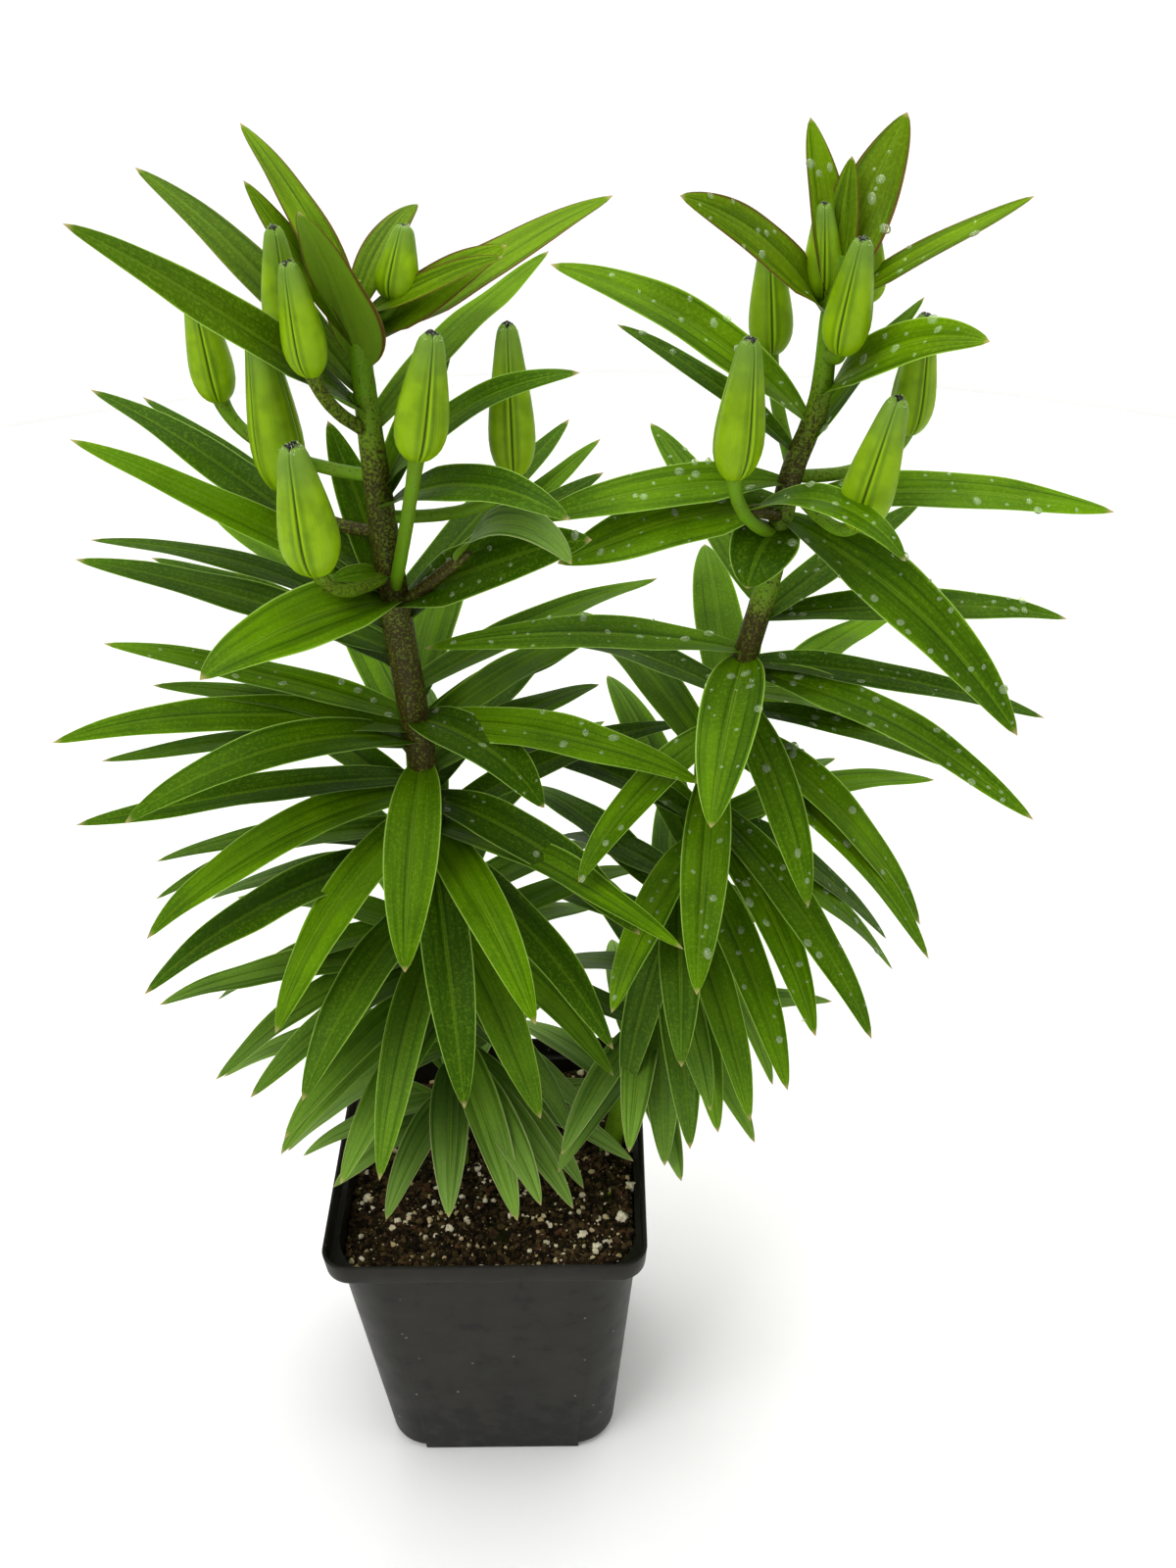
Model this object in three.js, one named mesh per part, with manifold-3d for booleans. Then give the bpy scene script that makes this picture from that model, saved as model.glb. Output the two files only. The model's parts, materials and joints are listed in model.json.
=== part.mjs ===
// A lily grown from bulbs: two leafy stems in bud, standing in a square nursery pot of potting soil.
// Millimetres, +Z up. The origin is the centre of the pot's underside and -Y is the pot's front.
import * as THREE from 'three';
import { mergeVertices } from 'three/addons/utils/BufferGeometryUtils.js';
import Module from 'manifold-3d';

// Pot: a deep square pot, 4.5 inches across its rim band
const POT_HEIGHT = 125;
const RIM_HALF = 57;
const RIM_BAND = 9.5;
const RIM_CORNER = 9.6;
const RIM_LEAN = 0.6;
const BODY_TOP_HALF = 54.3;
const BODY_FOOT_HALF = 44;
const BODY_CORNER = 19;
const FOOT_CORNER = 16;
const WALL = 1.3;
const FLOOR = 1.6;
// The base is raised at its four corners, where the drain holes are.
const FOOT_HALF = 30;
const CORNER_STEP = 3.5;
const DRAIN_RADIUS = 3.8;
const DRAIN_AT = 34.6;
const DRAIN_SIDES = 12;
const CORNER_POINTS = 6;
// How far a cutting body reaches past what it cuts
const BEYOND = 20;

// Soil: higher towards the front and the right, and uneven
const SOIL_GAP = 0.35;
const SOIL_TOP = 111;
const SOIL_SHOULDER = 105;
const SOIL_SLOPE = 3;
const SOIL_UNEVEN = 2.2;
const SOIL_RINGS = 6;
const SOIL_SIDE_POINTS = 4;

// Stem
const STEM_FOOT = 76;
const STEM_GAP = 0.4;
const STEM_SIDES = 6;
const STEM_STEP = 34;

// Blade: lanceolate, widest before its middle, with a long point and a shallow channel
const BLADE_HALF_THICKNESS = 0.62;
const BLADE_STATIONS = [0, 0.2, 0.48, 0.78, 1];
const BLADE_STEPS = 24;
const BLADE_CHANNEL = 0.22;
const BLADE_ROOT_POWER = 0.5;
const BLADE_POINT_POWER = 0.85;
const BLADE_ROOT_SHIFT = 0.02;
const BLADE_WIDEST = 0.358;
// The droop gathers towards the point, and a rolled blade has turned by this share of its length.
const DROOP_POWER = 1.2;
const ROLL_WITHIN = 0.3;

// Bud: three outer tepals with grooves between them, fullest near its foot
const BUD_SIDES = 9;
const BUD_RINGS = [0.05, 0.2, 0.42, 0.66, 0.86, 0.96];
const BUD_GROOVE = 0.09;
const BUD_FULL_AT = 0.75;
const BUD_FULL_POWER = 0.62;
const STALK_RADIUS = 1.8;
const STALK_SIDES = 6;
const STALK_STEPS = 5;
// The stalk runs this share of the bud's length into its foot, and bends this share of its span below it.
const STALK_SUNK = 0.12;
const STALK_BEND = 0.35;

const DEGREE = Math.PI / 180;
const GOLDEN_ANGLE = 137.5;
// Points closer than this are one point, and a direction with a smaller level part counts as upright.
const WELD = 1e-4;
const LEVEL_PART = 1e-6;
// Slivers thinner than this, left where leaves cross, are dissolved.
const SLIVER = 0.02;
// A repeatable draw takes the far digits of a sine that is stepped and spread by these.
const DRAW_STEP = 12.9898;
const DRAW_START = 4.1414;
const DRAW_SPREAD = 43758.5453;

// Each stem: points on its axis from below the soil to its tip, as x, y, z, radius.
const LEFT_AXIS = [
  [-15, 8, STEM_FOOT, 4.2],
  [-14, 6, 111, 4.2],
  [-11, 2, 200, 4.4],
  [-12.5, 1, 290, 4.6],
  [-16, 0, 345, 4.7],
  [-18, 0, 390, 3.9],
  [-19, 0, 425, 3],
  [-19, 1, 446, 2],
];
const RIGHT_AXIS = [
  [38, 9, STEM_FOOT, 3.9],
  [44, 8, 111, 3.9],
  [61, 5, 200, 3.9],
  [77, 3, 280, 3.8],
  [87, 1, 330, 3.8],
  [93.5, 0, 360, 3.6],
  [98, 0, 390, 3.3],
  [104.5, 0, 412, 3],
  [106, 1, 436, 2.4],
  [108, 2, 450, 1.8],
];

// The leaves that make each stem's look, as height on the stem, azimuth, rise, droop, length, width, roll.
const LEFT_LEAVES = [
  [438, 65, 50, 50, 42, 10, 10],
  [436, 350, 30, 15, 44, 9, 30],
  [430, 135, 65, 35, 66, 13, 10],
  [430, 5, 35, 10, 47, 14, 40],
  [428, 30, 25, 10, 84, 14, 20],
  [428, 157, 56, 5, 51, 11, -10],
  [424, 238, 74, 12, 47, 22, -8],
  [415, 150, 45, 20, 90, 14, -10],
  [410, 205, 45, 10, 92, 15, -40],
  [405, 50, 30, 15, 82, 13, 0],
  [386, 350, 55, 50, 72, 12, 25],
  [384, 50, 53, 10, 50, 13, 0],
  [382, 330, 35, 60, 66, 16, 20],
  [362, 228, 20, 10, 22, 9, -20],
  [353, 235, 22, 35, 76, 20, -25],
  [356, 155, 35, 10, 94, 14, 0],
  [354, 165, 40, 15, 104, 17, -10],
  [352, 185, 40, 15, 100, 13, -20],
  [351, 340, 35, 20, 70, 19, 40],
  [350, 55, 20, 5, 95, 14, 0],
  [350, 126, 62, 10, 58, 14, 0],
  [346, 30, 30, 15, 78, 15, 10],
  [345, 50, 20, 10, 100, 13, 0],
  [342, 170, 30, 35, 98, 12, 0],
  [335, 170, 20, 15, 104, 15, -10],
  [330, 160, 25, 20, 88, 13, 0],
  [322, 32, 15, 15, 92, 15, 0],
  [312, 325, 10, 60, 54, 20, 0],
  [312, 175, 20, 15, 98, 14, -10],
  [310, 345, 10, 35, 92, 16, 15],
  [308, 185, 15, 30, 112, 15, -15],
  [306, 46, 12, 25, 76, 15, 0],
  [305, 175, 20, 20, 84, 13, 0],
  [304, 210, 25, 55, 96, 17, -15],
  [302, 185, 10, 20, 98, 12, 0],
  [296, 267, -15, 45, 70, 17, 0],
  [292, 38, 15, 25, 72, 15, 0],
  [290, 190, 5, 15, 108, 14, -10],
  [285, 210, 10, 50, 100, 16, -10],
  [283, 330, 0, 45, 84, 18, 10],
  [278, 230, -10, 50, 88, 17, 0],
  [272, 325, 10, 35, 98, 14, 0],
  [272, 297, 0, 45, 82, 16, 0],
  [270, 185, 5, 40, 96, 13, 0],
  [262, 280, -25, 40, 86, 16, 0],
  [262, 320, -10, 45, 90, 16, 0],
  [262, 180, 15, 40, 94, 13, 0],
  [262, 210, 10, 45, 104, 17, -5],
  [252, 165, 0, 40, 92, 13, 0],
  [245, 240, 0, 45, 86, 17, 0],
  [242, 305, -30, 35, 82, 16, 0],
  [236, 330, -20, 35, 82, 14, 0],
  [236, 40, 10, 35, 72, 15, 0],
  [232, 255, -15, 45, 90, 14, 0],
  [232, 180, -10, 30, 90, 13, 0],
  [222, 200, -5, 40, 92, 14, 0],
  [215, 228, 15, 40, 86, 14, 0],
  [214, 40, 5, 35, 72, 14, 0],
  [212, 188, 15, 40, 100, 15, 0],
  [208, 235, 10, 40, 84, 13, 0],
  [205, 330, -30, 40, 76, 13, 0],
  [200, 228, 5, 45, 82, 14, 0],
  [195, 245, 5, 45, 78, 14, 0],
  [190, 350, -30, 35, 78, 12, 0],
  [188, 187, 5, 42, 87, 13, 0],
  [182, 292, -10, 40, 74, 13, 0],
  [175, 325, -20, 40, 72, 12, 0],
  [172, 194, -10, 45, 75, 13, 0],
  [170, 300, 5, 45, 70, 13, 0],
  [168, 312, -5, 40, 72, 12, 0],
  [165, 272, 10, 45, 66, 14, 0],
  [158, 345, -10, 30, 74, 12, 0],
  [150, 250, 15, 45, 62, 12, 0],
  [145, 205, 15, 40, 60, 11, 0],
  [140, 225, 20, 40, 58, 11, 0],
];
const RIGHT_LEAVES = [
  [440, 40, 65, 10, 48, 16, 20],
  [440, 120, 80, 20, 44, 12, 0],
  [438, 63, 79, 5, 36, 10, 0],
  [436, 355, 35, 10, 57, 10, 20],
  [433, 205, 55, 35, 60, 14, -50],
  [412, 320, 50, 50, 56, 15, 40],
  [405, 170, 45, 35, 84, 15, -30],
  [398, 17, 53, 10, 51, 12, 0],
  [396, 160, 40, 20, 62, 9, -20],
  [388, 185, 5, 25, 74, 15, -25],
  [382, 355, 10, 25, 92, 14, 25],
  [382, 190, 0, 25, 67, 20, -30],
  [375, 238, 0, 70, 24, 19, -20],
  [378, 332, -20, 35, 93, 19, 30],
  [350, 110, 25, 20, 90, 14, 0],
  [345, 5, 5, 20, 96, 14, 15],
  [344, 25, 30, 10, 62, 13, 10],
  [334, 185, 15, 25, 97, 14, -15],
  [332, 256, -5, 45, 62, 18, 0],
  [330, 352, 0, 20, 92, 14, 10],
  [328, 330, 0, 35, 98, 15, 10],
  [320, 10, -15, 20, 80, 11, 0],
  [318, 295, -25, 45, 70, 14, 0],
  [318, 140, 6, 25, 96, 15, 0],
  [314, 0, -10, 20, 84, 12, 10],
  [307, 220, -5, 50, 70, 14, 0],
  [308, 325, -15, 45, 88, 15, 0],
  [300, 320, -10, 45, 94, 13, 0],
  [290, 262, -20, 35, 74, 15, 0],
  [278, 310, -15, 40, 93, 15, 0],
  [278, 300, -20, 40, 84, 15, 0],
  [275, 357, -25, 35, 84, 13, 10],
  [270, 136, 18, 30, 72, 15, 0],
  [268, 345, -20, 35, 84, 13, 0],
  [262, 240, -10, 40, 66, 13, 0],
  [258, 296, -20, 40, 85, 14, 0],
  [250, 5, -35, 35, 74, 12, 0],
  [244, 134, 6, 35, 60, 14, 0],
  [240, 290, -20, 40, 80, 13, 0],
  [240, 268, 0, 45, 66, 14, 0],
  [235, 325, -40, 40, 76, 12, 0],
  [230, 245, -30, 45, 64, 13, 0],
  [225, 285, -20, 40, 72, 13, 0],
  [222, 275, -20, 40, 74, 13, 0],
  [222, 138, 5, 35, 60, 14, 0],
  [215, 282, 0, 40, 64, 12, 0],
  [205, 270, -20, 40, 68, 13, 0],
  [202, 138, -10, 35, 60, 13, 0],
  [200, 310, -20, 40, 66, 12, 0],
  [190, 262, 10, 45, 64, 12, 0],
  [180, 240, 5, 45, 60, 11, 0],
  [165, 285, 10, 40, 58, 11, 0],
  [155, 240, 15, 40, 54, 10, 0],
];

// The leaves behind them follow the stem's spiral, between two azimuths on the far side.
const LEFT_SPIRAL = { from: 132, to: 335, spacing: 4.1, turn: 20 };
const RIGHT_SPIRAL = { from: 132, to: 325, spacing: 4.3, turn: 75 };
const FAR_SIDE = [10, 165];
// How they change from the lowest to the highest, and by how much each strays
const SPIRAL_RISE = [12, 30];
const SPIRAL_DROOP = [42, 34];
const SPIRAL_LENGTH = [60, 92];
const SPIRAL_WIDTH = [11.5, 16];
const SPIRAL_SWAY = 6;
const FULL_LENGTH_FROM = 0.62;

// Buds, as height of the stalk's root, the bud's foot, the bud's tip, its radius.
const LEFT_BUDS = [
  [412, [-39, 4, 430], [-38, 0, 461], 6],
  [405, [-30, -14, 426], [-32, -18, 457], 6],
  [392, [-63, 18, 408], [-65, 15, 442], 6.5],
  [375, [-45, 5, 386], [-47, 5, 434], 8],
  [362, [-32, -30, 377], [-34, -32, 415], 8.5],
  [355, [-4, -20, 405], [3, -22, 440], 7.5],
  [380, [20, 8, 388], [20, 10, 432], 7],
  [435, [-9, 2, 440], [-5, 6, 459], 6],
];
const RIGHT_BUDS = [
  [392, [93, 20, 418], [91, 20, 450], 6.5],
  [372, [80, -20, 398], [83, -22, 437], 7],
  [425, [108, -10, 428], [111, -14, 459], 6.5],
  [437, [104, 4, 438], [103, 4, 463], 5.5],
  [432, [116, 7, 436], [116, 8, 457], 5.5],
  [388, [114, -20, 383], [122, -22, 421], 7.5],
  [390, [132, 14, 396], [134, 14, 431], 6.5],
];

// Bracts on stalks of their own, as height of the stalk's root, the stalk's end, then as a leaf from azimuth on.
const LEFT_BRACTS = [
  [350, [8, -14, 375], 330, 65, 125, 46, 13, 20],
];
const RIGHT_BRACTS = [
  [378, [86, -13, 386], 320, 35, 85, 52, 15, 0],
];

const wasm = await Module();
wasm.setup();

// A closed body through rings with equally many points; a first or last ring of one point is a tip.
// A thin one has its odd sides split along the other diagonal, so that its two faces keep clear of each other.
function loft(rings, thin = false) {
  const positions = [];
  const triangle = (a, b, c) => positions.push(...a.toArray(), ...b.toArray(), ...c.toArray());
  for (let i = 0; i + 1 < rings.length; i += 1) {
    const lower = rings[i];
    const upper = rings[i + 1];
    const count = Math.max(lower.length, upper.length);
    for (let k = 0; k < count; k += 1) {
      const next = (k + 1) % count;
      if (thin && k % 2 === 1 && lower.length > 1 && upper.length > 1) {
        triangle(lower[k], lower[next], upper[k]);
        triangle(lower[next], upper[next], upper[k]);
        continue;
      }
      if (lower.length > 1) triangle(lower[k], lower[next], upper[upper.length > 1 ? next : 0]);
      if (upper.length > 1) triangle(lower[lower.length > 1 ? k : 0], upper[next], upper[k]);
    }
  }
  const first = rings[0];
  const last = rings[rings.length - 1];
  for (let k = 1; k + 1 < first.length; k += 1) triangle(first[0], first[k + 1], first[k]);
  for (let k = 1; k + 1 < last.length; k += 1) triangle(last[0], last[k], last[k + 1]);
  return new THREE.BufferGeometry().setAttribute('position', new THREE.Float32BufferAttribute(positions, 3));
}

// The solid that a closed body's geometry encloses
function solid(geometry) {
  const merged = mergeVertices(geometry, WELD);
  return new wasm.Manifold(new wasm.Mesh({
    numProp: 3,
    vertProperties: merged.attributes.position.array,
    triVerts: new Uint32Array(merged.index.array),
  }));
}

function joined(geometries) {
  return wasm.Manifold.union(geometries.map(solid));
}

function geometryOf(body) {
  const mesh = body.getMesh();
  const geometry = new THREE.BufferGeometry();
  geometry.setAttribute('position', new THREE.BufferAttribute(new Float32Array(mesh.vertProperties), 3));
  geometry.setIndex(new THREE.BufferAttribute(new Uint32Array(mesh.triVerts), 1));
  return geometry;
}

// A repeatable draw between -1 and 1
function draw(seed) {
  const value = Math.sin(seed * DRAW_STEP + DRAW_START) * DRAW_SPREAD;
  return 2 * (value - Math.floor(value)) - 1;
}

function mix(from, to, share) {
  return from + (to - from) * share;
}

// The point of a stem's axis at a height and its radius there, on a smooth curve through the axis points
function stemAt(axis, z) {
  const last = axis.length - 1;
  let i = 0;
  while (i < last - 1 && z > axis[i + 1][2]) i += 1;
  const slope = (k, column) => {
    const before = axis[Math.max(k - 1, 0)];
    const after = axis[Math.min(k + 1, last)];
    return (after[column] - before[column]) / (after[2] - before[2]);
  };
  const span = axis[i + 1][2] - axis[i][2];
  const t = (z - axis[i][2]) / span;
  const smooth = (column) => (2 * t ** 3 - 3 * t ** 2 + 1) * axis[i][column]
    + (t ** 3 - 2 * t ** 2 + t) * slope(i, column) * span
    + (3 * t ** 2 - 2 * t ** 3) * axis[i + 1][column]
    + (t ** 3 - t ** 2) * slope(i + 1, column) * span;
  return { point: new THREE.Vector3(smooth(0), smooth(1), z), radius: mix(axis[i][3], axis[i + 1][3], t) };
}

// A ring of points around a direction; radiusAt gives the radius for each turn.
function ringAround(centre, direction, radiusAt, sides) {
  const first = new THREE.Vector3(0, 0, 1).cross(direction);
  if (first.lengthSq() < LEVEL_PART) first.set(1, 0, 0);
  first.normalize();
  const second = new THREE.Vector3().crossVectors(direction, first);
  const ring = [];
  for (let side = 0; side < sides; side += 1) {
    const turn = (side / sides) * 2 * Math.PI;
    ring.push(centre.clone()
      .addScaledVector(first, radiusAt(turn) * Math.cos(turn))
      .addScaledVector(second, radiusAt(turn) * Math.sin(turn)));
  }
  return ring;
}

// The stem, or with some growth the hole that it stands in
function stemTube(axis, growth) {
  const up = new THREE.Vector3(0, 0, 1);
  const foot = axis[0][2];
  const top = axis[axis.length - 1][2];
  const steps = Math.round((top - foot) / STEM_STEP);
  const rings = [];
  for (let k = 0; k <= steps; k += 1) {
    const { point, radius } = stemAt(axis, mix(foot, top, k / steps));
    if (k === 0) point.z -= growth;
    rings.push(ringAround(point, up, () => radius + growth, STEM_SIDES));
  }
  return loft(rings);
}

// Share of a blade's full width at a share of its length
function bladeOutline(s) {
  const shape = (at) => (at + BLADE_ROOT_SHIFT) ** BLADE_ROOT_POWER * (1 - at) ** BLADE_POINT_POWER;
  return shape(s) / shape(BLADE_WIDEST);
}

// A blade from its root: it leaves at its rise and bends down by its droop on the way to the point.
function blade(root, azimuth, rise, droop, length, width, roll) {
  const point = root.clone();
  const heading = azimuth * DEGREE;
  const rings = [];
  for (let k = 0; k <= BLADE_STEPS; k += 1) {
    const s = k / BLADE_STEPS;
    const elevation = (rise - droop * s ** DROOP_POWER) * DEGREE;
    const along = new THREE.Vector3(Math.cos(elevation), 0, Math.sin(elevation));
    const up = new THREE.Vector3(-Math.sin(elevation), 0, Math.cos(elevation));
    up.applyAxisAngle(along, roll * Math.min(1, s / ROLL_WITHIN) * DEGREE);
    for (const vector of [along, up]) vector.applyAxisAngle(new THREE.Vector3(0, 0, 1), heading);
    const across = new THREE.Vector3().crossVectors(up, along);
    if (s + 0.5 / BLADE_STEPS > BLADE_STATIONS[rings.length]) {
      const half = (width / 2) * bladeOutline(s);
      const lift = half * BLADE_CHANNEL * (1 - s);
      const at = (sideways, raised) => point.clone().addScaledVector(across, sideways).addScaledVector(up, raised);
      const upper = at(0, BLADE_HALF_THICKNESS);
      const lower = at(0, -BLADE_HALF_THICKNESS);
      rings.push(s < 1 ? [at(half, lift), upper, at(-half, lift), lower] : [point.clone()]);
    }
    point.addScaledVector(along, length / BLADE_STEPS);
  }
  return loft(rings, true);
}

// Leaves of the spiral up a stem, with draws for how their size and stance vary
function spiralLeaves({ from, to, spacing, turn }) {
  const leaves = [];
  for (let i = 0; from + i * spacing < to; i += 1) {
    const height = from + i * spacing;
    const share = (height - from) / (to - from);
    const azimuth = (turn + i * GOLDEN_ANGLE) % 360;
    if (azimuth < FAR_SIDE[0] || azimuth > FAR_SIDE[1]) continue;
    leaves.push([
      height,
      azimuth + SPIRAL_SWAY * draw(4 * i),
      mix(...SPIRAL_RISE, share) + SPIRAL_SWAY * draw(4 * i + 1),
      mix(...SPIRAL_DROOP, share) + SPIRAL_SWAY * draw(4 * i + 2),
      mix(...SPIRAL_LENGTH, Math.min(1, share / FULL_LENGTH_FROM)) + SPIRAL_SWAY * draw(4 * i + 3),
      mix(...SPIRAL_WIDTH, share),
      0,
    ]);
  }
  return leaves;
}

function budBody(foot, tip, radius) {
  const direction = tip.clone().sub(foot).normalize();
  const rings = [[foot.clone()]];
  for (const s of BUD_RINGS) {
    const fullness = Math.sin(Math.PI * s ** BUD_FULL_AT) ** BUD_FULL_POWER;
    const radiusAt = (turn) => radius * fullness * (1 - BUD_GROOVE + BUD_GROOVE * Math.cos(3 * turn));
    rings.push(ringAround(foot.clone().lerp(tip, s), direction, radiusAt, BUD_SIDES));
  }
  rings.push([tip.clone()]);
  return loft(rings);
}

// A stalk leaves the stem, bends up under its end and runs straight into it.
function stalk(root, end, direction, sunk) {
  const below = end.clone().addScaledVector(direction, -STALK_BEND * root.distanceTo(end));
  const path = new THREE.QuadraticBezierCurve3(root, below, end.clone().addScaledVector(direction, sunk));
  const rings = [];
  for (let k = 0; k <= STALK_STEPS; k += 1) {
    const t = k / STALK_STEPS;
    rings.push(ringAround(path.getPoint(t), path.getTangent(t), () => STALK_RADIUS, STALK_SIDES));
  }
  return loft(rings);
}

function leafyStem(axis, leaves, spiral, buds, bracts) {
  const bodies = [stemTube(axis, 0)];
  for (const [height, ...shape] of [...leaves, ...spiralLeaves(spiral)]) {
    bodies.push(blade(stemAt(axis, height).point, ...shape));
  }
  for (const [height, footPoint, tipPoint, radius] of buds) {
    const foot = new THREE.Vector3(...footPoint);
    const tip = new THREE.Vector3(...tipPoint);
    const direction = tip.clone().sub(foot);
    const sunk = STALK_SUNK * direction.length();
    bodies.push(budBody(foot, tip, radius));
    bodies.push(stalk(stemAt(axis, height).point, foot, direction.normalize(), sunk));
  }
  for (const [height, endPoint, ...shape] of bracts) {
    const end = new THREE.Vector3(...endPoint);
    const root = stemAt(axis, height).point;
    bodies.push(stalk(root, end, end.clone().sub(root).normalize(), 0));
    bodies.push(blade(root.clone().lerp(end, 1 - STALK_SUNK), ...shape));
  }
  return joined(bodies).simplify(SLIVER);
}

// A square outline with rounded corners, at a height, with extra points along each straight side
function roundedSquare(half, corner, z, sidePoints) {
  const quarter = [];
  const straight = half - corner;
  for (let k = 0; k < CORNER_POINTS; k += 1) {
    const turn = (k / (CORNER_POINTS - 1)) * 90 * DEGREE;
    quarter.push([straight + corner * Math.cos(turn), straight + corner * Math.sin(turn)]);
  }
  for (let k = 1; k <= sidePoints; k += 1) quarter.push([mix(straight, -straight, k / (sidePoints + 1)), half]);
  const ring = [];
  const up = new THREE.Vector3(0, 0, 1);
  for (let side = 0; side < 4; side += 1) {
    for (const [x, y] of quarter) ring.push(new THREE.Vector3(x, y, z).applyAxisAngle(up, side * 90 * DEGREE));
  }
  return ring;
}

// The outline of the pot's body at a height, or of anything that follows it some way inside its outer face
function bodyRing(z, inset, sidePoints) {
  const share = z / (POT_HEIGHT - RIM_BAND);
  return roundedSquare(
    mix(BODY_FOOT_HALF, BODY_TOP_HALF, share) - inset,
    mix(FOOT_CORNER, BODY_CORNER, share) - inset,
    z,
    sidePoints,
  );
}

// Four upright blocks, one at each corner of the base, from a set distance off its middle up to a height
function cornerBlocks(from, height) {
  const blocks = [];
  const to = RIM_HALF + BEYOND;
  for (const x of [-1, 1]) {
    for (const y of [-1, 1]) {
      const [left, right] = x < 0 ? [-to, -from] : [from, to];
      const [front, back] = y < 0 ? [-to, -from] : [from, to];
      const outline = (z) => [[left, front], [right, front], [right, back], [left, back]]
        .map(([cornerX, cornerY]) => new THREE.Vector3(cornerX, cornerY, z));
      blocks.push(loft([outline(-BEYOND), outline(height)]));
    }
  }
  return joined(blocks);
}

function pot() {
  const band = POT_HEIGHT - RIM_BAND;
  const outside = solid(loft([
    bodyRing(0, 0, 0),
    bodyRing(band, 0, 0),
    roundedSquare(RIM_HALF - RIM_LEAN, RIM_CORNER, band + RIM_LEAN, 0),
    roundedSquare(RIM_HALF, RIM_CORNER, POT_HEIGHT, 0),
  ]));
  const inside = solid(loft([
    bodyRing(FLOOR, WALL, 0),
    bodyRing(band + WALL, WALL, 0),
    roundedSquare(RIM_HALF - RIM_LEAN - WALL, RIM_CORNER - WALL, band + WALL + RIM_LEAN, 0),
    roundedSquare(RIM_HALF - WALL, RIM_CORNER - WALL, POT_HEIGHT + BEYOND, 0),
  ]));
  const drains = [];
  const up = new THREE.Vector3(0, 0, 1);
  for (const x of [-DRAIN_AT, DRAIN_AT]) {
    for (const y of [-DRAIN_AT, DRAIN_AT]) {
      const ring = (z) => ringAround(new THREE.Vector3(x, y, z), up, () => DRAIN_RADIUS, DRAIN_SIDES);
      drains.push(loft([ring(0), ring(CORNER_STEP + 2 * FLOOR)]));
    }
  }
  return outside
    .subtract(cornerBlocks(FOOT_HALF, CORNER_STEP))
    .subtract(inside.subtract(cornerBlocks(FOOT_HALF - WALL, CORNER_STEP + FLOOR)))
    .subtract(joined(drains));
}

function soil() {
  const inset = WALL + SOIL_GAP;
  const rings = [
    bodyRing(FLOOR + SOIL_GAP, inset, SOIL_SIDE_POINTS),
    bodyRing(SOIL_SHOULDER, inset, SOIL_SIDE_POINTS),
  ];
  for (let k = 0; k < SOIL_RINGS; k += 1) {
    const share = 1 - k / SOIL_RINGS;
    const ring = bodyRing(SOIL_SHOULDER, inset, SOIL_SIDE_POINTS);
    ring.forEach((point, i) => {
      const slope = (SOIL_SLOPE * (point.x - point.y) * share) / BODY_TOP_HALF;
      const bump = SOIL_UNEVEN * draw(i + ring.length * k);
      point.set(point.x * share, point.y * share, SOIL_TOP + slope + bump);
    });
    rings.push(ring);
  }
  rings.push([new THREE.Vector3(0, 0, SOIL_TOP)]);
  return solid(loft(rings))
    .subtract(cornerBlocks(FOOT_HALF - WALL - SOIL_GAP, CORNER_STEP + FLOOR + SOIL_GAP))
    .subtract(joined([stemTube(LEFT_AXIS, STEM_GAP), stemTube(RIGHT_AXIS, STEM_GAP)]));
}

const plastic = new THREE.MeshStandardMaterial({ color: 0x26272a, roughness: 0.5, metalness: 0 });
const peat = new THREE.MeshStandardMaterial({ color: 0x2e2119, roughness: 1, metalness: 0 });
const foliage = new THREE.MeshStandardMaterial({ color: 0x4a8a12, roughness: 0.5, metalness: 0 });

const lily = new THREE.Group();
const nodes = [
  ['pot', pot(), plastic],
  ['soil', soil(), peat],
  ['left_leafy_stem', leafyStem(LEFT_AXIS, LEFT_LEAVES, LEFT_SPIRAL, LEFT_BUDS, LEFT_BRACTS), foliage],
  ['right_leafy_stem', leafyStem(RIGHT_AXIS, RIGHT_LEAVES, RIGHT_SPIRAL, RIGHT_BUDS, RIGHT_BRACTS), foliage],
];
for (const [name, body, material] of nodes) {
  const mesh = new THREE.Mesh(geometryOf(body), material);
  mesh.name = name;
  lily.add(mesh);
}

export default lily;
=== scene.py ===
import json
import math

import bmesh
import bpy
from mathutils import Matrix, Vector, noise

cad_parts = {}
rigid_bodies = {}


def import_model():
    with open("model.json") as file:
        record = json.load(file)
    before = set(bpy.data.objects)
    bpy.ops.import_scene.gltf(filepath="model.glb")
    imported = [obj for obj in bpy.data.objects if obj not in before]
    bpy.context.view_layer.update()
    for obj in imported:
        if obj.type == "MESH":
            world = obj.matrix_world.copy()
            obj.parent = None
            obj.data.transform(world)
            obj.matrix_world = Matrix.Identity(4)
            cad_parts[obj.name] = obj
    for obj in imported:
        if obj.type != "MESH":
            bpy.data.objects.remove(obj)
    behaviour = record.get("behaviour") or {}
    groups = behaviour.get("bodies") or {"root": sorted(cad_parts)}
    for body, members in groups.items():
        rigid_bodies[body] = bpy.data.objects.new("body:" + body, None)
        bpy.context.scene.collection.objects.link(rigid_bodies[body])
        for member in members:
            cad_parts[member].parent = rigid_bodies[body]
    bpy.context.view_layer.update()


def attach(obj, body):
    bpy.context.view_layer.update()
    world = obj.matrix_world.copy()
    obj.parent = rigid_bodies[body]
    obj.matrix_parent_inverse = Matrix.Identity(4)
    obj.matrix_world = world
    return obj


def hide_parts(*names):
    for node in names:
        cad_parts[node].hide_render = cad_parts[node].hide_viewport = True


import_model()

MM = 0.001
UP = Vector((0, 0, 1))

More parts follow.
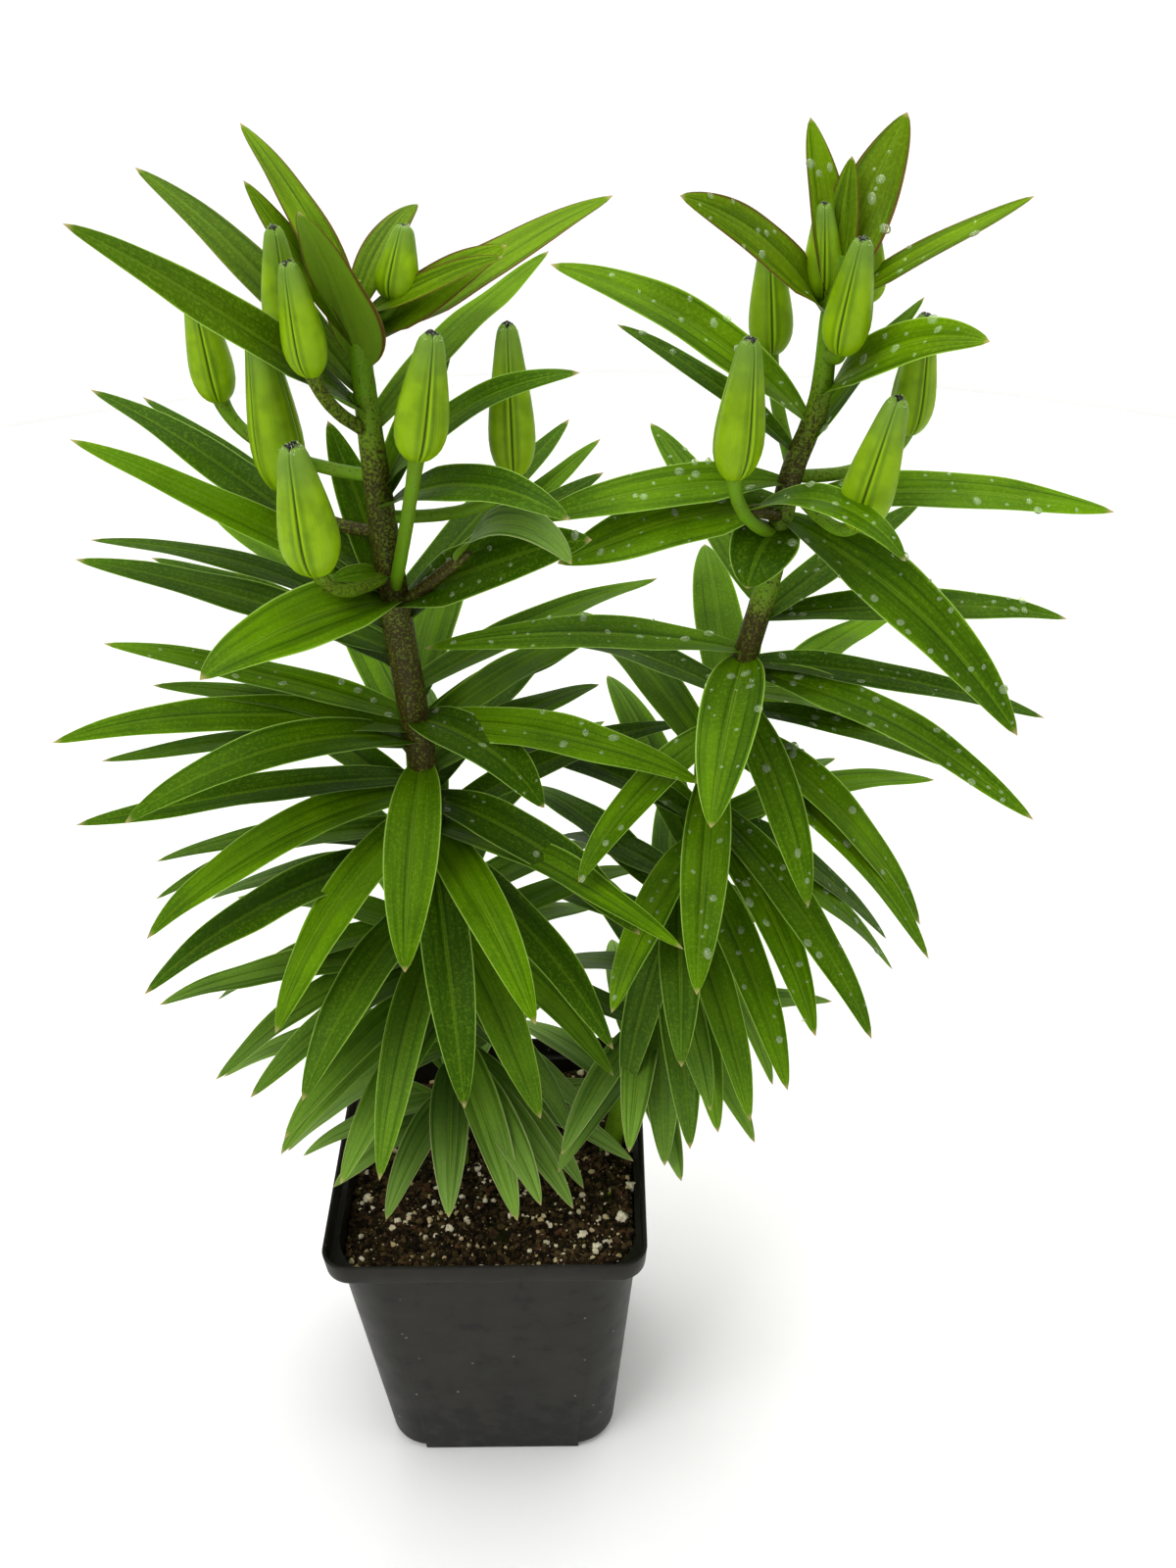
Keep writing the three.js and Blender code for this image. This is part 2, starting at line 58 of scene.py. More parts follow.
# Camera: place in millimetres, angles in degrees, and a focal length on a 36 mm sensor
CAMERA_PLACE = (45, -412, 565)
CAMERA_PITCH = 34
CAMERA_YAW = -0.8
CAMERA_ROLL = -1.3
CAMERA_LENS = 36
CAMERA_NEAR = 10

# Pot, in millimetres, as in the part
POT_HEIGHT = 125
RIM_HALF = 57
RIM_BAND = 9.5
RIM_CORNER = 9.6
RIM_LEAN = 0.6
BODY_TOP_HALF = 54.3
BODY_FOOT_HALF = 44
BODY_CORNER = 19
FOOT_CORNER = 16
WALL = 1.3
FLOOR = 1.6
FOOT_HALF = 30
CORNER_STEP = 3.5
DRAIN_RADIUS = 3.8
DRAIN_AT = 34.6
DRAIN_SIDES = 32
# Moulded edges: the radius at the foot, under the band, and round the lip
FOOT_ROUND = 1
BAND_ROUND = 0.8
LIP_ROUND = 0.6
ROUND_STEPS = 4
POT_CORNER_POINTS = 20

# Soil, in millimetres
SOIL_GAP = 0.35
SOIL_TOP = 111
SOIL_SHOULDER = 105
SOIL_SLOPE = 3
SOIL_RINGS = 56
SOIL_SIDE_POINTS = 40
SOIL_CORNER_POINTS = 12
SOIL_LUMPS = ((22, 2.2), (7, 2), (2.6, 1.3))

# Stem and stalks, in millimetres
STEM_FOOT = 76
STEM_SIDES = 24
STEM_STEP = 2.5
STALK_RADIUS = 1.9
STALK_STEPS = 24
STALK_SUNK = 0.12
STALK_BEND = 0.35
# A stalk widens into its bud, and a bract's narrows into its blade, over this last share of its length.
STALK_END_WITHIN = 0.35
BUD_STALK_END = 1.4
BRACT_STALK_END = 0.4

# Blade: the part's own outline and bend, with finer stations
BLADE_STEPS = 30
BLADE_CHANNEL = 0.22
BLADE_ROOT_POWER = 0.5
BLADE_POINT_POWER = 0.72
BLADE_ROOT_SHIFT = 0.02
BLADE_WIDEST = 0.358
BLADE_TIP_HALF = 0.06
DROOP_POWER = 1.2
ROLL_WITHIN = 0.3
# How far a blade strays from its plain bend, in degrees
BLADE_SWAY = 2
BLADE_TWIST = 5
BLADE_WOBBLE = 4
BLADE_WOBBLES = 1.4
# The section across a blade, as share of the half width and the thickness above and below it there
BLADE_SECTION = (
    (0, 0.006, 0.075),
    (0.09, 0.022, 0.05),
    (0.27, 0.03, 0.028),
    (0.52, 0.028, 0.026),
    (0.8, 0.018, 0.018),
    (1, 0, 0),
)
WAVE_LENGTH = 24

# Bud: girth at shares of its length, widest in its lower third, with a blunt tip
BUD_PROFILE = (
    (0, 0.26),
    (0.015, 0.42),
    (0.04, 0.58),
    (0.08, 0.74),
    (0.13, 0.87),
    (0.19, 0.96),
    (0.26, 1),
    (0.34, 0.99),
    (0.43, 0.94),
    (0.52, 0.87),
    (0.61, 0.79),
    (0.7, 0.7),
    (0.78, 0.62),
    (0.85, 0.55),
    (0.9, 0.49),
    (0.94, 0.43),
    (0.97, 0.34),
    (0.99, 0.22),
    (1, 0.07),
)
# Across half a tepal, degrees from the slit and share of the girth: raised lip, soft valley, round back
BUD_SECTION = (
    (0, 0.8),
    (3, 0.87),
    (7, 0.93),
    (12, 0.935),
    (18, 0.905),
    (25, 0.905),
    (34, 0.945),
    (46, 0.985),
    (60, 1),
)
BUD_TIP_SPLIT = 0.03
BUD_TIP_FROM = 0.92
# Where the fine white wool grows on a bud, as shares of its length, and its hairs in metres
WOOL_FROM = 0.95
WOOL_HAIRS = {
    "Spacing": 0.25 * MM,
    "Most per square metre": 2500000.0,
    "Smallest": 0.25 * MM,
    "Largest": 0.9 * MM,
    "Tumble": 0.35,
}
WOOL_SEED = 71

GOLDEN_ANGLE = 137.5

# Each stem: points on its axis from below the soil to its tip, as x, y, z, radius.
LEFT_AXIS = (
    (-15, 8, STEM_FOOT, 4.2),
    (-14, 6, 111, 4.2),
    (-11, 2, 200, 4.4),
    (-12.5, 1, 290, 4.6),
    (-16, 0, 345, 4.7),
    (-18, 0, 390, 3.9),
    (-19, 0, 425, 3),
    (-19, 1, 446, 2),
)
RIGHT_AXIS = (
    (38, 9, STEM_FOOT, 3.9),
    (44, 8, 111, 3.9),
    (61, 5, 200, 3.9),
    (77, 3, 280, 3.8),
    (87, 1, 330, 3.8),
    (93.5, 0, 360, 3.6),
    (98, 0, 390, 3.3),
    (104.5, 0, 412, 3),
    (106, 1, 436, 2.4),
    (108, 2, 450, 1.8),
)

# The leaves that make each stem's look, as height on the stem, azimuth, rise, droop, length, width, roll.
LEFT_LEAVES = (
    (438, 65, 50, 50, 42, 10, 10),
    (436, 350, 30, 15, 44, 9, 30),
    (430, 135, 65, 35, 66, 13, 10),
    (430, 5, 35, 10, 47, 14, 40),
    (428, 30, 25, 10, 84, 14, 20),
    (428, 157, 56, 5, 51, 11, -10),
    (424, 238, 74, 12, 47, 22, -8),
    (415, 150, 45, 20, 90, 14, -10),
    (410, 205, 45, 10, 92, 15, -40),
    (405, 50, 30, 15, 82, 13, 0),
    (386, 350, 55, 50, 72, 12, 25),
    (384, 50, 53, 10, 50, 13, 0),
    (382, 330, 35, 60, 66, 16, 20),
    (362, 228, 20, 10, 22, 9, -20),
    (353, 235, 22, 35, 76, 20, -25),
    (356, 155, 35, 10, 94, 14, 0),
    (354, 165, 40, 15, 104, 17, -10),
    (352, 185, 40, 15, 100, 13, -20),
    (351, 340, 35, 20, 70, 19, 40),
    (350, 55, 20, 5, 95, 14, 0),
    (350, 126, 62, 10, 58, 14, 0),
    (346, 30, 30, 15, 78, 15, 10),
    (345, 50, 20, 10, 100, 13, 0),
    (342, 170, 30, 35, 98, 12, 0),
    (335, 170, 20, 15, 104, 15, -10),
    (330, 160, 25, 20, 88, 13, 0),
    (322, 32, 15, 15, 92, 15, 0),
    (312, 325, 10, 60, 54, 20, 0),
    (312, 175, 20, 15, 98, 14, -10),
    (310, 345, 10, 35, 92, 16, 15),
    (308, 185, 15, 30, 112, 15, -15),
    (306, 46, 12, 25, 76, 15, 0),
    (305, 175, 20, 20, 84, 13, 0),
    (304, 210, 25, 55, 96, 17, -15),
    (302, 185, 10, 20, 98, 12, 0),
    (296, 267, -15, 45, 70, 17, 0),
    (292, 38, 15, 25, 72, 15, 0),
    (290, 190, 5, 15, 108, 14, -10),
    (285, 210, 10, 50, 100, 16, -10),
    (283, 330, 0, 45, 84, 18, 10),
    (278, 230, -10, 50, 88, 17, 0),
    (272, 325, 10, 35, 98, 14, 0),
    (272, 297, 0, 45, 82, 16, 0),
    (270, 185, 5, 40, 96, 13, 0),
    (262, 280, -25, 40, 86, 16, 0),
    (262, 320, -10, 45, 90, 16, 0),
    (262, 180, 15, 40, 94, 13, 0),
    (262, 210, 10, 45, 104, 17, -5),
    (252, 165, 0, 40, 92, 13, 0),
    (245, 240, 0, 45, 86, 17, 0),
    (242, 305, -30, 35, 82, 16, 0),
    (236, 330, -20, 35, 82, 14, 0),
    (236, 40, 10, 35, 72, 15, 0),
    (232, 255, -15, 45, 90, 14, 0),
    (232, 180, -10, 30, 90, 13, 0),
    (222, 200, -5, 40, 92, 14, 0),
    (215, 228, 15, 40, 86, 14, 0),
    (214, 40, 5, 35, 72, 14, 0),
    (212, 188, 15, 40, 100, 15, 0),
    (208, 235, 10, 40, 84, 13, 0),
    (205, 330, -30, 40, 76, 13, 0),
    (200, 228, 5, 45, 82, 14, 0),
    (195, 245, 5, 45, 78, 14, 0),
    (190, 350, -30, 35, 78, 12, 0),
    (188, 187, 5, 42, 87, 13, 0),
    (182, 292, -10, 40, 74, 13, 0),
    (175, 325, -20, 40, 72, 12, 0),
    (172, 194, -10, 45, 75, 13, 0),
    (170, 300, 5, 45, 70, 13, 0),
    (168, 312, -5, 40, 72, 12, 0),
    (165, 272, 10, 45, 66, 14, 0),
    (158, 345, -10, 30, 74, 12, 0),
    (150, 250, 15, 45, 62, 12, 0),
    (145, 205, 15, 40, 60, 11, 0),
    (140, 225, 20, 40, 58, 11, 0),
)
RIGHT_LEAVES = (
    (440, 40, 65, 10, 48, 16, 20),
    (440, 120, 80, 20, 44, 12, 0),
    (438, 63, 79, 5, 36, 10, 0),
    (436, 355, 35, 10, 57, 10, 20),
    (433, 205, 55, 35, 60, 14, -50),
    (412, 320, 50, 50, 56, 15, 40),
    (405, 170, 45, 35, 84, 15, -30),
    (398, 17, 53, 10, 51, 12, 0),
    (396, 160, 40, 20, 62, 9, -20),
    (388, 185, 5, 25, 74, 15, -25),
    (382, 355, 10, 25, 92, 14, 25),
    (382, 190, 0, 25, 67, 20, -30),
    (375, 238, 0, 70, 24, 19, -20),
    (378, 332, -20, 35, 93, 19, 30),
    (350, 110, 25, 20, 90, 14, 0),
    (345, 5, 5, 20, 96, 14, 15),
    (344, 25, 30, 10, 62, 13, 10),
    (334, 185, 15, 25, 97, 14, -15),
    (332, 256, -5, 45, 62, 18, 0),
    (330, 352, 0, 20, 92, 14, 10),
    (328, 330, 0, 35, 98, 15, 10),
    (320, 10, -15, 20, 80, 11, 0),
    (318, 295, -25, 45, 70, 14, 0),
    (318, 140, 6, 25, 96, 15, 0),
    (314, 0, -10, 20, 84, 12, 10),
    (307, 220, -5, 50, 70, 14, 0),
    (308, 325, -15, 45, 88, 15, 0),
    (300, 320, -10, 45, 94, 13, 0),
    (290, 262, -20, 35, 74, 15, 0),
    (278, 310, -15, 40, 93, 15, 0),
    (278, 300, -20, 40, 84, 15, 0),
    (275, 357, -25, 35, 84, 13, 10),
    (270, 136, 18, 30, 72, 15, 0),
    (268, 345, -20, 35, 84, 13, 0),
    (262, 240, -10, 40, 66, 13, 0),
    (258, 296, -20, 40, 85, 14, 0),
    (250, 5, -35, 35, 74, 12, 0),
    (244, 134, 6, 35, 60, 14, 0),
    (240, 290, -20, 40, 80, 13, 0),
    (240, 268, 0, 45, 66, 14, 0),
    (235, 325, -40, 40, 76, 12, 0),
    (230, 245, -30, 45, 64, 13, 0),
    (225, 285, -20, 40, 72, 13, 0),
    (222, 275, -20, 40, 74, 13, 0),
    (222, 138, 5, 35, 60, 14, 0),
    (215, 282, 0, 40, 64, 12, 0),
    (205, 270, -20, 40, 68, 13, 0),
    (202, 138, -10, 35, 60, 13, 0),
    (200, 310, -20, 40, 66, 12, 0),
    (190, 262, 10, 45, 64, 12, 0),
    (180, 240, 5, 45, 60, 11, 0),
    (165, 285, 10, 40, 58, 11, 0),
    (155, 240, 15, 40, 54, 10, 0),
)

# The leaves behind them follow the stem's spiral, between two azimuths on the far side.
LEFT_SPIRAL = {"start": 132, "end": 335, "spacing": 4.1, "turn": 20}
RIGHT_SPIRAL = {"start": 132, "end": 325, "spacing": 4.3, "turn": 75}
FAR_SIDE = (10, 165)
SPIRAL_SWAY = 6
SPIRAL_RISE = (12, 30)
SPIRAL_DROOP = (42, 34)
SPIRAL_LENGTH = (60, 92)
SPIRAL_WIDTH = (11.5, 16)
SPIRAL_FULL_LENGTH_AT = 0.62
# A repeatable draw takes the far digits of a sine that is stepped and spread by these.
DRAW_STEP = 12.9898
DRAW_START = 4.1414
DRAW_SPREAD = 43758.5453

# Buds, as height of the stalk's root, the bud's foot, the bud's tip, its radius, its turn in degrees
# about its own axis, and how brown its stalk is.
LEFT_BUDS = (
    (412, (-39, 4, 430), (-38, 0, 461), 6, 50, 0.3),
    (405, (-30, -14, 426), (-32, -18, 457), 6, 12, 0.6),
    (392, (-63, 18, 408), (-65, 15, 442), 6.5, 35, 0.2),
    (375, (-45, 5, 386), (-47, 5, 434), 8, -15, 0.9),
    (362, (-32, -30, 377), (-34, -32, 415), 8.5, 20, 0.5),
    (355, (-4, -20, 405), (3, -22, 440), 7.5, 45, 0.05),
    (380, (20, 8, 388), (20, 10, 432), 7, 32, 0.1),
    (435, (-9, 2, 440), (-5, 6, 459), 6, 10, 0.3),
)
RIGHT_BUDS = (
    (392, (93, 20, 418), (91, 20, 450), 6.5, 30, 0.2),
    (372, (80, -20, 398), (83, -22, 437), 7, 55, 0.05),
    (425, (108, -10, 428), (111, -14, 459), 6.5, 3, 0.3),
    (437, (104, 4, 438), (103, 4, 463), 5.5, 30, 0.2),
    (432, (116, 7, 436), (116, 8, 457), 5.5, 18, 0.3),
    (388, (114, -20, 383), (122, -22, 421), 7.5, 10, 0.3),
    (390, (132, 14, 396), (134, 14, 431), 6.5, 50, 0.3),
)

# Bracts on stalks of their own, as height of the stalk's root, the stalk's end, then as a leaf's azimuth on.
LEFT_BRACTS = (
    (350, (8, -14, 375), 330, 65, 125, 46, 13, 20),
)
RIGHT_BRACTS = (
    (378, (86, -13, 386), 320, 35, 85, 52, 15, 0),
)

# Leaves that the water drops lie on: the left ones by height on the stem, the right ones above a height
LEFT_WET_HEIGHTS = (351, 312, 310, 283)
RIGHT_WET_ABOVE = 250
DROP_UPWARD = 0.35
DROP_RADIUS = (0.5, 1.6)
DROP_SPACING = 2.2
DROPS_PER_SQUARE_METRE = 22000.0
DROP_FLAT = 0.38
DROP_STRETCH = ((1, 1, DROP_FLAT), (1.25, 0.9, DROP_FLAT), (0.85, 1.1, DROP_FLAT))

# Larger grains that lie on the soil, as x, y and size in millimetres
LARGE_PERLITE = (
    (34.3, -35.5, 3.6),
    (48.5, -28.1, 3.8),
    (39.2, -40.8, 3),
    (-47, -12, 3),
    (-18, -12, 2.6),
    (52, -13, 3.4),
    (-14.5, -31, 2.6),
)
FEED_BEAD = (-33, 21, 3.2)
PERLITE_UNEVEN = 0.8
CHIP_STRETCH = ((1, 0.34, 0.2), (1, 0.5, 0.3), (0.8, 0.6, 0.4), (1, 0.22, 0.15))

# Colours of the surfaces; those that are painted light or shade are marked as such
LEAF_DEEP = "#2f4d00"
LEAF_FRESH = "#668c00"
LEAF_YOUNG = "#809605"
# Greyer green of the low leaves, which also paints the sheen of the left bract
LEAF_GREYED_AND_SHEEN = "#8bab5a"
LEAF_UNDER = "#729028"
LEAF_VEIN = "#234200"
LEAF_RIB = "#93b52e"
LEAF_MARGIN = "#a5c763"
LEAF_MARGIN_LOW = "#c3c29c"
LEAF_MARGIN_YOUNG = "#5c2f22"
LEAF_TIP = "#b5a077"
BUD_GREEN = "#7a9a02"
# A paler bud green, which also paints a highlight on the raised lips; then painted shade for the valleys and
# the slits
BUD_PALE_AND_LIP_HIGHLIGHT = "#9dc00a"
BUD_VALLEY_SHADE = "#466a02"
BUD_SLIT_SHADE = "#263f02"
BUD_TIP_GREYED = "#6d8b3c"
BUD_TIP_DARK = "#0f0b0c"
WOOL_WHITE = "#cfd8c2"
STEM_OLIVE = "#6c7c1c"
STEM_GREEN = "#6a9410"
STEM_BROWN = "#341c10"
POT_BLACK = "#1f1d14"
POT_STAIN = "#0b0a07"
POT_DUST = "#8d8c82"
PEAT_DARK = "#20180f"
PEAT_BROWN = "#6b5838"
BARK_DARK = "#120b07"
BARK_PALE = "#6b4c35"
FIBRE_DARK = "#3a2a1c"
FIBRE_PALE = "#9a8566"
PERLITE_WHITE = "#fff8e2"
PERLITE_CREAM = "#d2bf8e"
MOSS_DARK = "#2a3408"
MOSS_GREEN = "#8f9a1f"
FEED_BLUE = "#c3cbe6"
# Pale colour of the drops: painted light for their glints and bright rims
WATER_PALE_PAINTED_GLINT = "#e4f0cc"
FLOOR_PALE = "#fafaf9"
SKY_PALE = "#ffffff"

# How the leaves' looks change up the stems: heights in millimetres and shares
LEAF_AGES = (140, 445)
LOW_PALE = 0.9
LOW_PALE_UNTIL = 0.42
# The left bract is painted paler and greyer: a painted sheen for its silvery look
BRACT_PAINTED_SHEEN = {"left": 0.7, "right": 0}
WAVE_SHARE = 0.5
# Soft streaks along a leaf: how often they change across it, along it and from leaf to leaf
STREAK_SPREAD = (3.5, 0.9, 40)
# Veins from the midrib to a margin
VEINS = 3
STEM_BUMP = 0.4
STEM_BUMP_LENGTH = 5
# Darkness of each stem by height in millimetres
STEM_DARKNESS = {
    "left": ((100, 0.3), (270, 0.35), (290, 1), (352, 0.95), (392, 0.8), (410, 0.35), (446, 0.1)),
    "right": (
        (100, 0.25), (285, 0.35), (312, 1), (345, 0.95), (356, 0.35),
        (378, 0.4), (388, 0.95), (412, 0.5), (430, 0.1),
    ),
}

# What lies on the soil: its shapes, its seed, its finish, and its sizes in metres
SOIL_GRAINS = {
    "peat_crumbs": ("grains", 11, "crumb", {
        "Spacing": 0.9 * MM, "Most per square metre": 400000.0,
        "Smallest": 0.5 * MM, "Largest": 1.9 * MM, "Tumble": 1.0}),
    "bark_chips": ("chips", 23, "bark", {
        "Spacing": 1.6 * MM, "Most per square metre": 60000.0,
        "Smallest": 0.7 * MM, "Largest": 3.2 * MM, "Tumble": 0.15}),
    "peat_fibres": ("fibres", 29, "fibre", {
        "Spacing": 2 * MM, "Most per square metre": 30000.0,
        "Smallest": 1 * MM, "Largest": 4.5 * MM, "Tumble": 0.1}),
    "perlite_grains": ("grains", 37, "perlite", {
        "Spacing": 1.4 * MM, "Most per square metre": 90000.0,
        "Smallest": 0.3 * MM, "Largest": 1.8 * MM, "Tumble": 1.0}),
    "moss_specks": ("grains", 41, "moss", {
        "Spacing": 3 * MM, "Most per square metre": 10000.0,
        "Smallest": 0.3 * MM, "Largest": 0.9 * MM, "Tumble": 1.0}),
}
# Facts about a surface that what lies on it doesn't need
SURFACE_FACTS = (
    "cover", "face", "across", "along", "under", "half", "lift", "cup", "flutter", "wet", "pale", "away",
)

# Seeds: of each stem, and the steps between the draws for its leaves, buds, bracts and tints
STEM_SEEDS = {"left": 3, "right": 1009}
LEAF_SEEDS = 13
BUD_SEEDS = 5
BRACT_SEEDS = 701
TINT_SEED = 9
# Small shapes outnumber large ones by this power. Grains lie where the soil faces up at least so far.
SMALL_OFTEN = 2.5
UPWARD = 0.2
# How fast the uneven surface of small shapes and large grains changes, and their offsets
SHAPE_LUMPS = 1.6
SHAPE_OFFSET = (7, 3, 11)
LARGE_LUMPS = 1.8
LARGE_OFFSET = 5
LARGE_RAISED = 0.2
LARGE_SHADE = 0.8
# How far a cutting tool reaches past what it cuts, in millimetres
BEYOND = 20

# Studio, in metres and watts
FLOOR_RADIUS = 1.2
FLOOR_CURVE = 0.6
FLOOR_CURVE_STEPS = 12
FLOOR_WALL = 1.7
FLOOR_SIDES = 96
SKY_STRENGTH = 0.45
# The picture's gamma, for the firm contrast of the photograph
PICTURE_GAMMA = 0.86
# Lamps: name, place, aim, size, power
LAMPS = (
    ("overhead", (0.1, 0.25, 1.6), (0.03, 0, 0.3), 1.3, 18),
    ("key", (-0.75, -0.8, 1.4), (0.03, 0, 0.3), 0.8, 9),
)

# Settings that many nodes share
SMOOTH = {"interpolation_type": "SMOOTHSTEP"}
COLOURS = {"data_type": "RGBA"}
FLOAT = {"data_type": "FLOAT"}
VECTOR = {"data_type": "FLOAT_VECTOR"}
LOCAL = {"rotation_space": "LOCAL"}
PRODUCT = {"operation": "MULTIPLY"}
LESS = {"operation": "SUBTRACT"}
QUOTIENT = {"operation": "DIVIDE"}
SCALED = {"operation": "SCALE"}
SUM = {"operation": "ADD"}
PRODUCT_SUM = {"operation": "MULTIPLY_ADD"}


# Small tools
def colour(code):
    """A hex sRGB colour as the linear colour that Blender's sockets take."""
    shares = [int(code[at : at + 2], 16) / 255 for at in (1, 3, 5)]
    linear = [share / 12.92 if share <= 0.04045 else ((share + 0.055) / 1.055) ** 2.4 for share in shares]
    return (*linear, 1)


def mix(start, end, share):
    return start + (end - start) * share


def draw(seed):
    """A repeatable draw between -1 and 1, the part's own."""
    value = math.sin(seed * DRAW_STEP + DRAW_START) * DRAW_SPREAD
    return 2 * (value - math.floor(value)) - 1


def add(tree, kind, settings=None, inputs=None):
    """Adds a node, sets and links its inputs by identifier or number, and returns its first live output."""
    node = tree.nodes.new(kind)
    for label, value in (settings or {}).items():
        setattr(node, label, value)
    named = {socket.identifier: socket for socket in node.inputs}
    for key, value in (inputs or {}).items():
        socket = node.inputs[key] if isinstance(key, int) else named[key]
        if isinstance(value, bpy.types.NodeSocket):
            tree.links.new(value, socket)
        else:
            socket.default_value = value
    live = [socket for socket in node.outputs if socket.enabled]
    return live[0] if live else None


def worked(tree, settings, *values):
    """The outcome of a math node for one value or up to three."""
    return add(tree, "ShaderNodeMath", settings, dict(enumerate(values)))


def fact(tree, name, settings=FLOAT):
    """What a geometry tree reads at each point by name."""
    return add(tree, "GeometryNodeInputNamedAttribute", settings, {"Name": name})


def shape_of(tree, thing):
    """The shape of an object, for a geometry tree."""
    return add(tree, "GeometryNodeObjectInfo", {}, {"Object": thing}).node.outputs["Geometry"]


def new_tree(label, inputs):
    """A geometry tree with a geometry input and further named inputs, and the sockets of all of them."""
    tree = bpy.data.node_groups.new(label, "GeometryNodeTree")
    tree.interface.new_socket("Geometry", in_out="INPUT", socket_type="NodeSocketGeometry")
    for name, kind in inputs.items():
        tree.interface.new_socket(name, in_out="INPUT", socket_type=f"NodeSocket{kind}")
    tree.interface.new_socket("Geometry", in_out="OUTPUT", socket_type="NodeSocketGeometry")
    return tree, tree.nodes.new("NodeGroupInput").outputs


def end_tree(tree, geometry, material):
    """Ends a tree with real geometry that wears its material, and returns the tree."""
    real = add(tree, "GeometryNodeRealizeInstances", {}, {"Geometry": geometry})
    dressed = add(tree, "GeometryNodeSetMaterial", {}, {"Geometry": real, "Material": material})
    add(tree, "NodeGroupOutput", {}, {0: dressed})
    return tree


def grown(thing, tree, inputs):
    """Runs a geometry tree on an object and leaves the outcome in it as its plain mesh."""
    modifier = thing.modifiers.new(tree.name, "NODES")
    modifier.node_group = tree
    for item in tree.interface.items_tree:
        if item.in_out == "INPUT" and item.name in inputs:
            modifier[item.identifier] = inputs[item.name]
    graph = bpy.context.evaluated_depsgraph_get()
    mesh = bpy.data.meshes.new_from_object(
        thing.evaluated_get(graph), preserve_all_data_layers=True, depsgraph=graph
    )
    thing.modifiers.remove(modifier)
    thing.data = mesh
    return thing


def linked(name, mesh):
    thing = bpy.data.objects.new(name, mesh)
    bpy.context.scene.collection.objects.link(thing)
    return thing


def made_smooth(thing, sharp_from):
    """Shades a piece smooth except across edges sharper than an angle in degrees."""
    mesh = thing.data
    mesh.polygons.foreach_set("use_smooth", [True] * len(mesh.polygons))
    mesh.set_sharp_from_angle(angle=math.radians(sharp_from))
    mesh.update()


def lines_object(name, lines, closed=False):
    """An object of open or closed lines. A point is its place and a dict of its floats and vectors."""
    points = [point for line in lines for point in line]
    edges = []
    first = 0
    for line in lines:
        edges += [(first + k, first + k + 1) for k in range(len(line) - 1)]
        if closed:
            edges.append((first + len(line) - 1, first))
        first += len(line)
    mesh = bpy.data.meshes.new(name)
    mesh.from_pydata([place for place, _ in points], edges, [])
    for key, sample in points[0][1].items():
        if isinstance(sample, Vector):
            attribute = mesh.attributes.new(key, "FLOAT_VECTOR", "POINT")
            attribute.data.foreach_set("vector", [number for _, facts in points for number in facts[key]])
        else:
            give_fact(mesh, key, [facts[key] for _, facts in points])
    return linked(name, mesh)


def give_fact(mesh, name, values):
    """Gives each point of a mesh a number that its material or a tree reads by name."""
    mesh.attributes.new(name, "FLOAT", "POINT").data.foreach_set("value", values)


def finished_mesh(name, shape):
    """The mesh of a shape that was built up face by face."""
    mesh = bpy.data.meshes.new(name)
    shape.to_mesh(mesh)
    shape.free()
    return mesh


def lofted(rings):
    """A closed mesh through rings of equally many points, with a flat cap at each end."""
    mesh = bpy.data.meshes.new("loft")
    count = len(rings[0])
    points = [point for ring in rings for point in ring]
    faces = [
        (row + k, row + (k + 1) % count, row + count + (k + 1) % count, row + count + k)
        for row in range(0, count * (len(rings) - 1), count)
        for k in range(count)
    ]
    faces.append(tuple(reversed(range(count))))
    faces.append(tuple(range(count * (len(rings) - 1), count * len(rings))))
    mesh.from_pydata(points, [], faces)
    return mesh


# Plant shapes by rule
def stem_at(axis, height):
    """The point of a stem's axis at a height and its radius there, in millimetres, on a smooth curve."""
    last = len(axis) - 1
    i = 0
    while i < last - 1 and height > axis[i + 1][2]:
        i += 1

    def slope(k, column):
        before = axis[max(k - 1, 0)]
        after = axis[min(k + 1, last)]
        return (after[column] - before[column]) / (after[2] - before[2])

    span = axis[i + 1][2] - axis[i][2]
    t = (height - axis[i][2]) / span

    def smooth(column):
        return (
            (2 * t**3 - 3 * t**2 + 1) * axis[i][column]
            + (t**3 - 2 * t**2 + t) * slope(i, column) * span
            + (3 * t**2 - 2 * t**3) * axis[i + 1][column]
            + (t**3 - t**2) * slope(i + 1, column) * span
        )

    return Vector((smooth(0), smooth(1), height)), mix(axis[i][3], axis[i + 1][3], t)


def blade_outline(s):
    def shape(at):
        return (at + BLADE_ROOT_SHIFT) ** BLADE_ROOT_POWER * (1 - at) ** BLADE_POINT_POWER

    return shape(s) / shape(BLADE_WIDEST)


def blade_line(root, azimuth, rise, droop, length, width, roll, seed, facts):
    """The midrib of a blade, with its upper direction, half width and place along it at each point."""
    line = []
    place = root.copy()
    sway, twist, wobble, phase = (draw(seed + k) for k in range(4))
    for k in range(BLADE_STEPS + 1):
        s = k / BLADE_STEPS
        waver = BLADE_WOBBLE * wobble * s * math.sin(2 * math.pi * (BLADE_WOBBLES * s + phase))
        elevation = math.radians(rise - droop * s**DROOP_POWER + waver)
        along = Vector((math.cos(elevation), 0, math.sin(elevation)))
        face = Vector((-math.sin(elevation), 0, math.cos(elevation)))
        turn = roll * min(1, s / ROLL_WITHIN) + BLADE_TWIST * twist * s
        face.rotate(Matrix.Rotation(math.radians(turn), 3, along))
        heading = Matrix.Rotation(math.radians(azimuth + BLADE_SWAY * sway * s), 3, "Z")
        along.rotate(heading)
        face.rotate(heading)
        half = max(width / 2 * blade_outline(s), BLADE_TIP_HALF)
        lift = half * BLADE_CHANNEL * (1 - s)
        line.append((place * MM, {"face": face, "half": half * MM, "lift": lift * MM, "along": s, **facts}))
        place += along * length / BLADE_STEPS
    return line


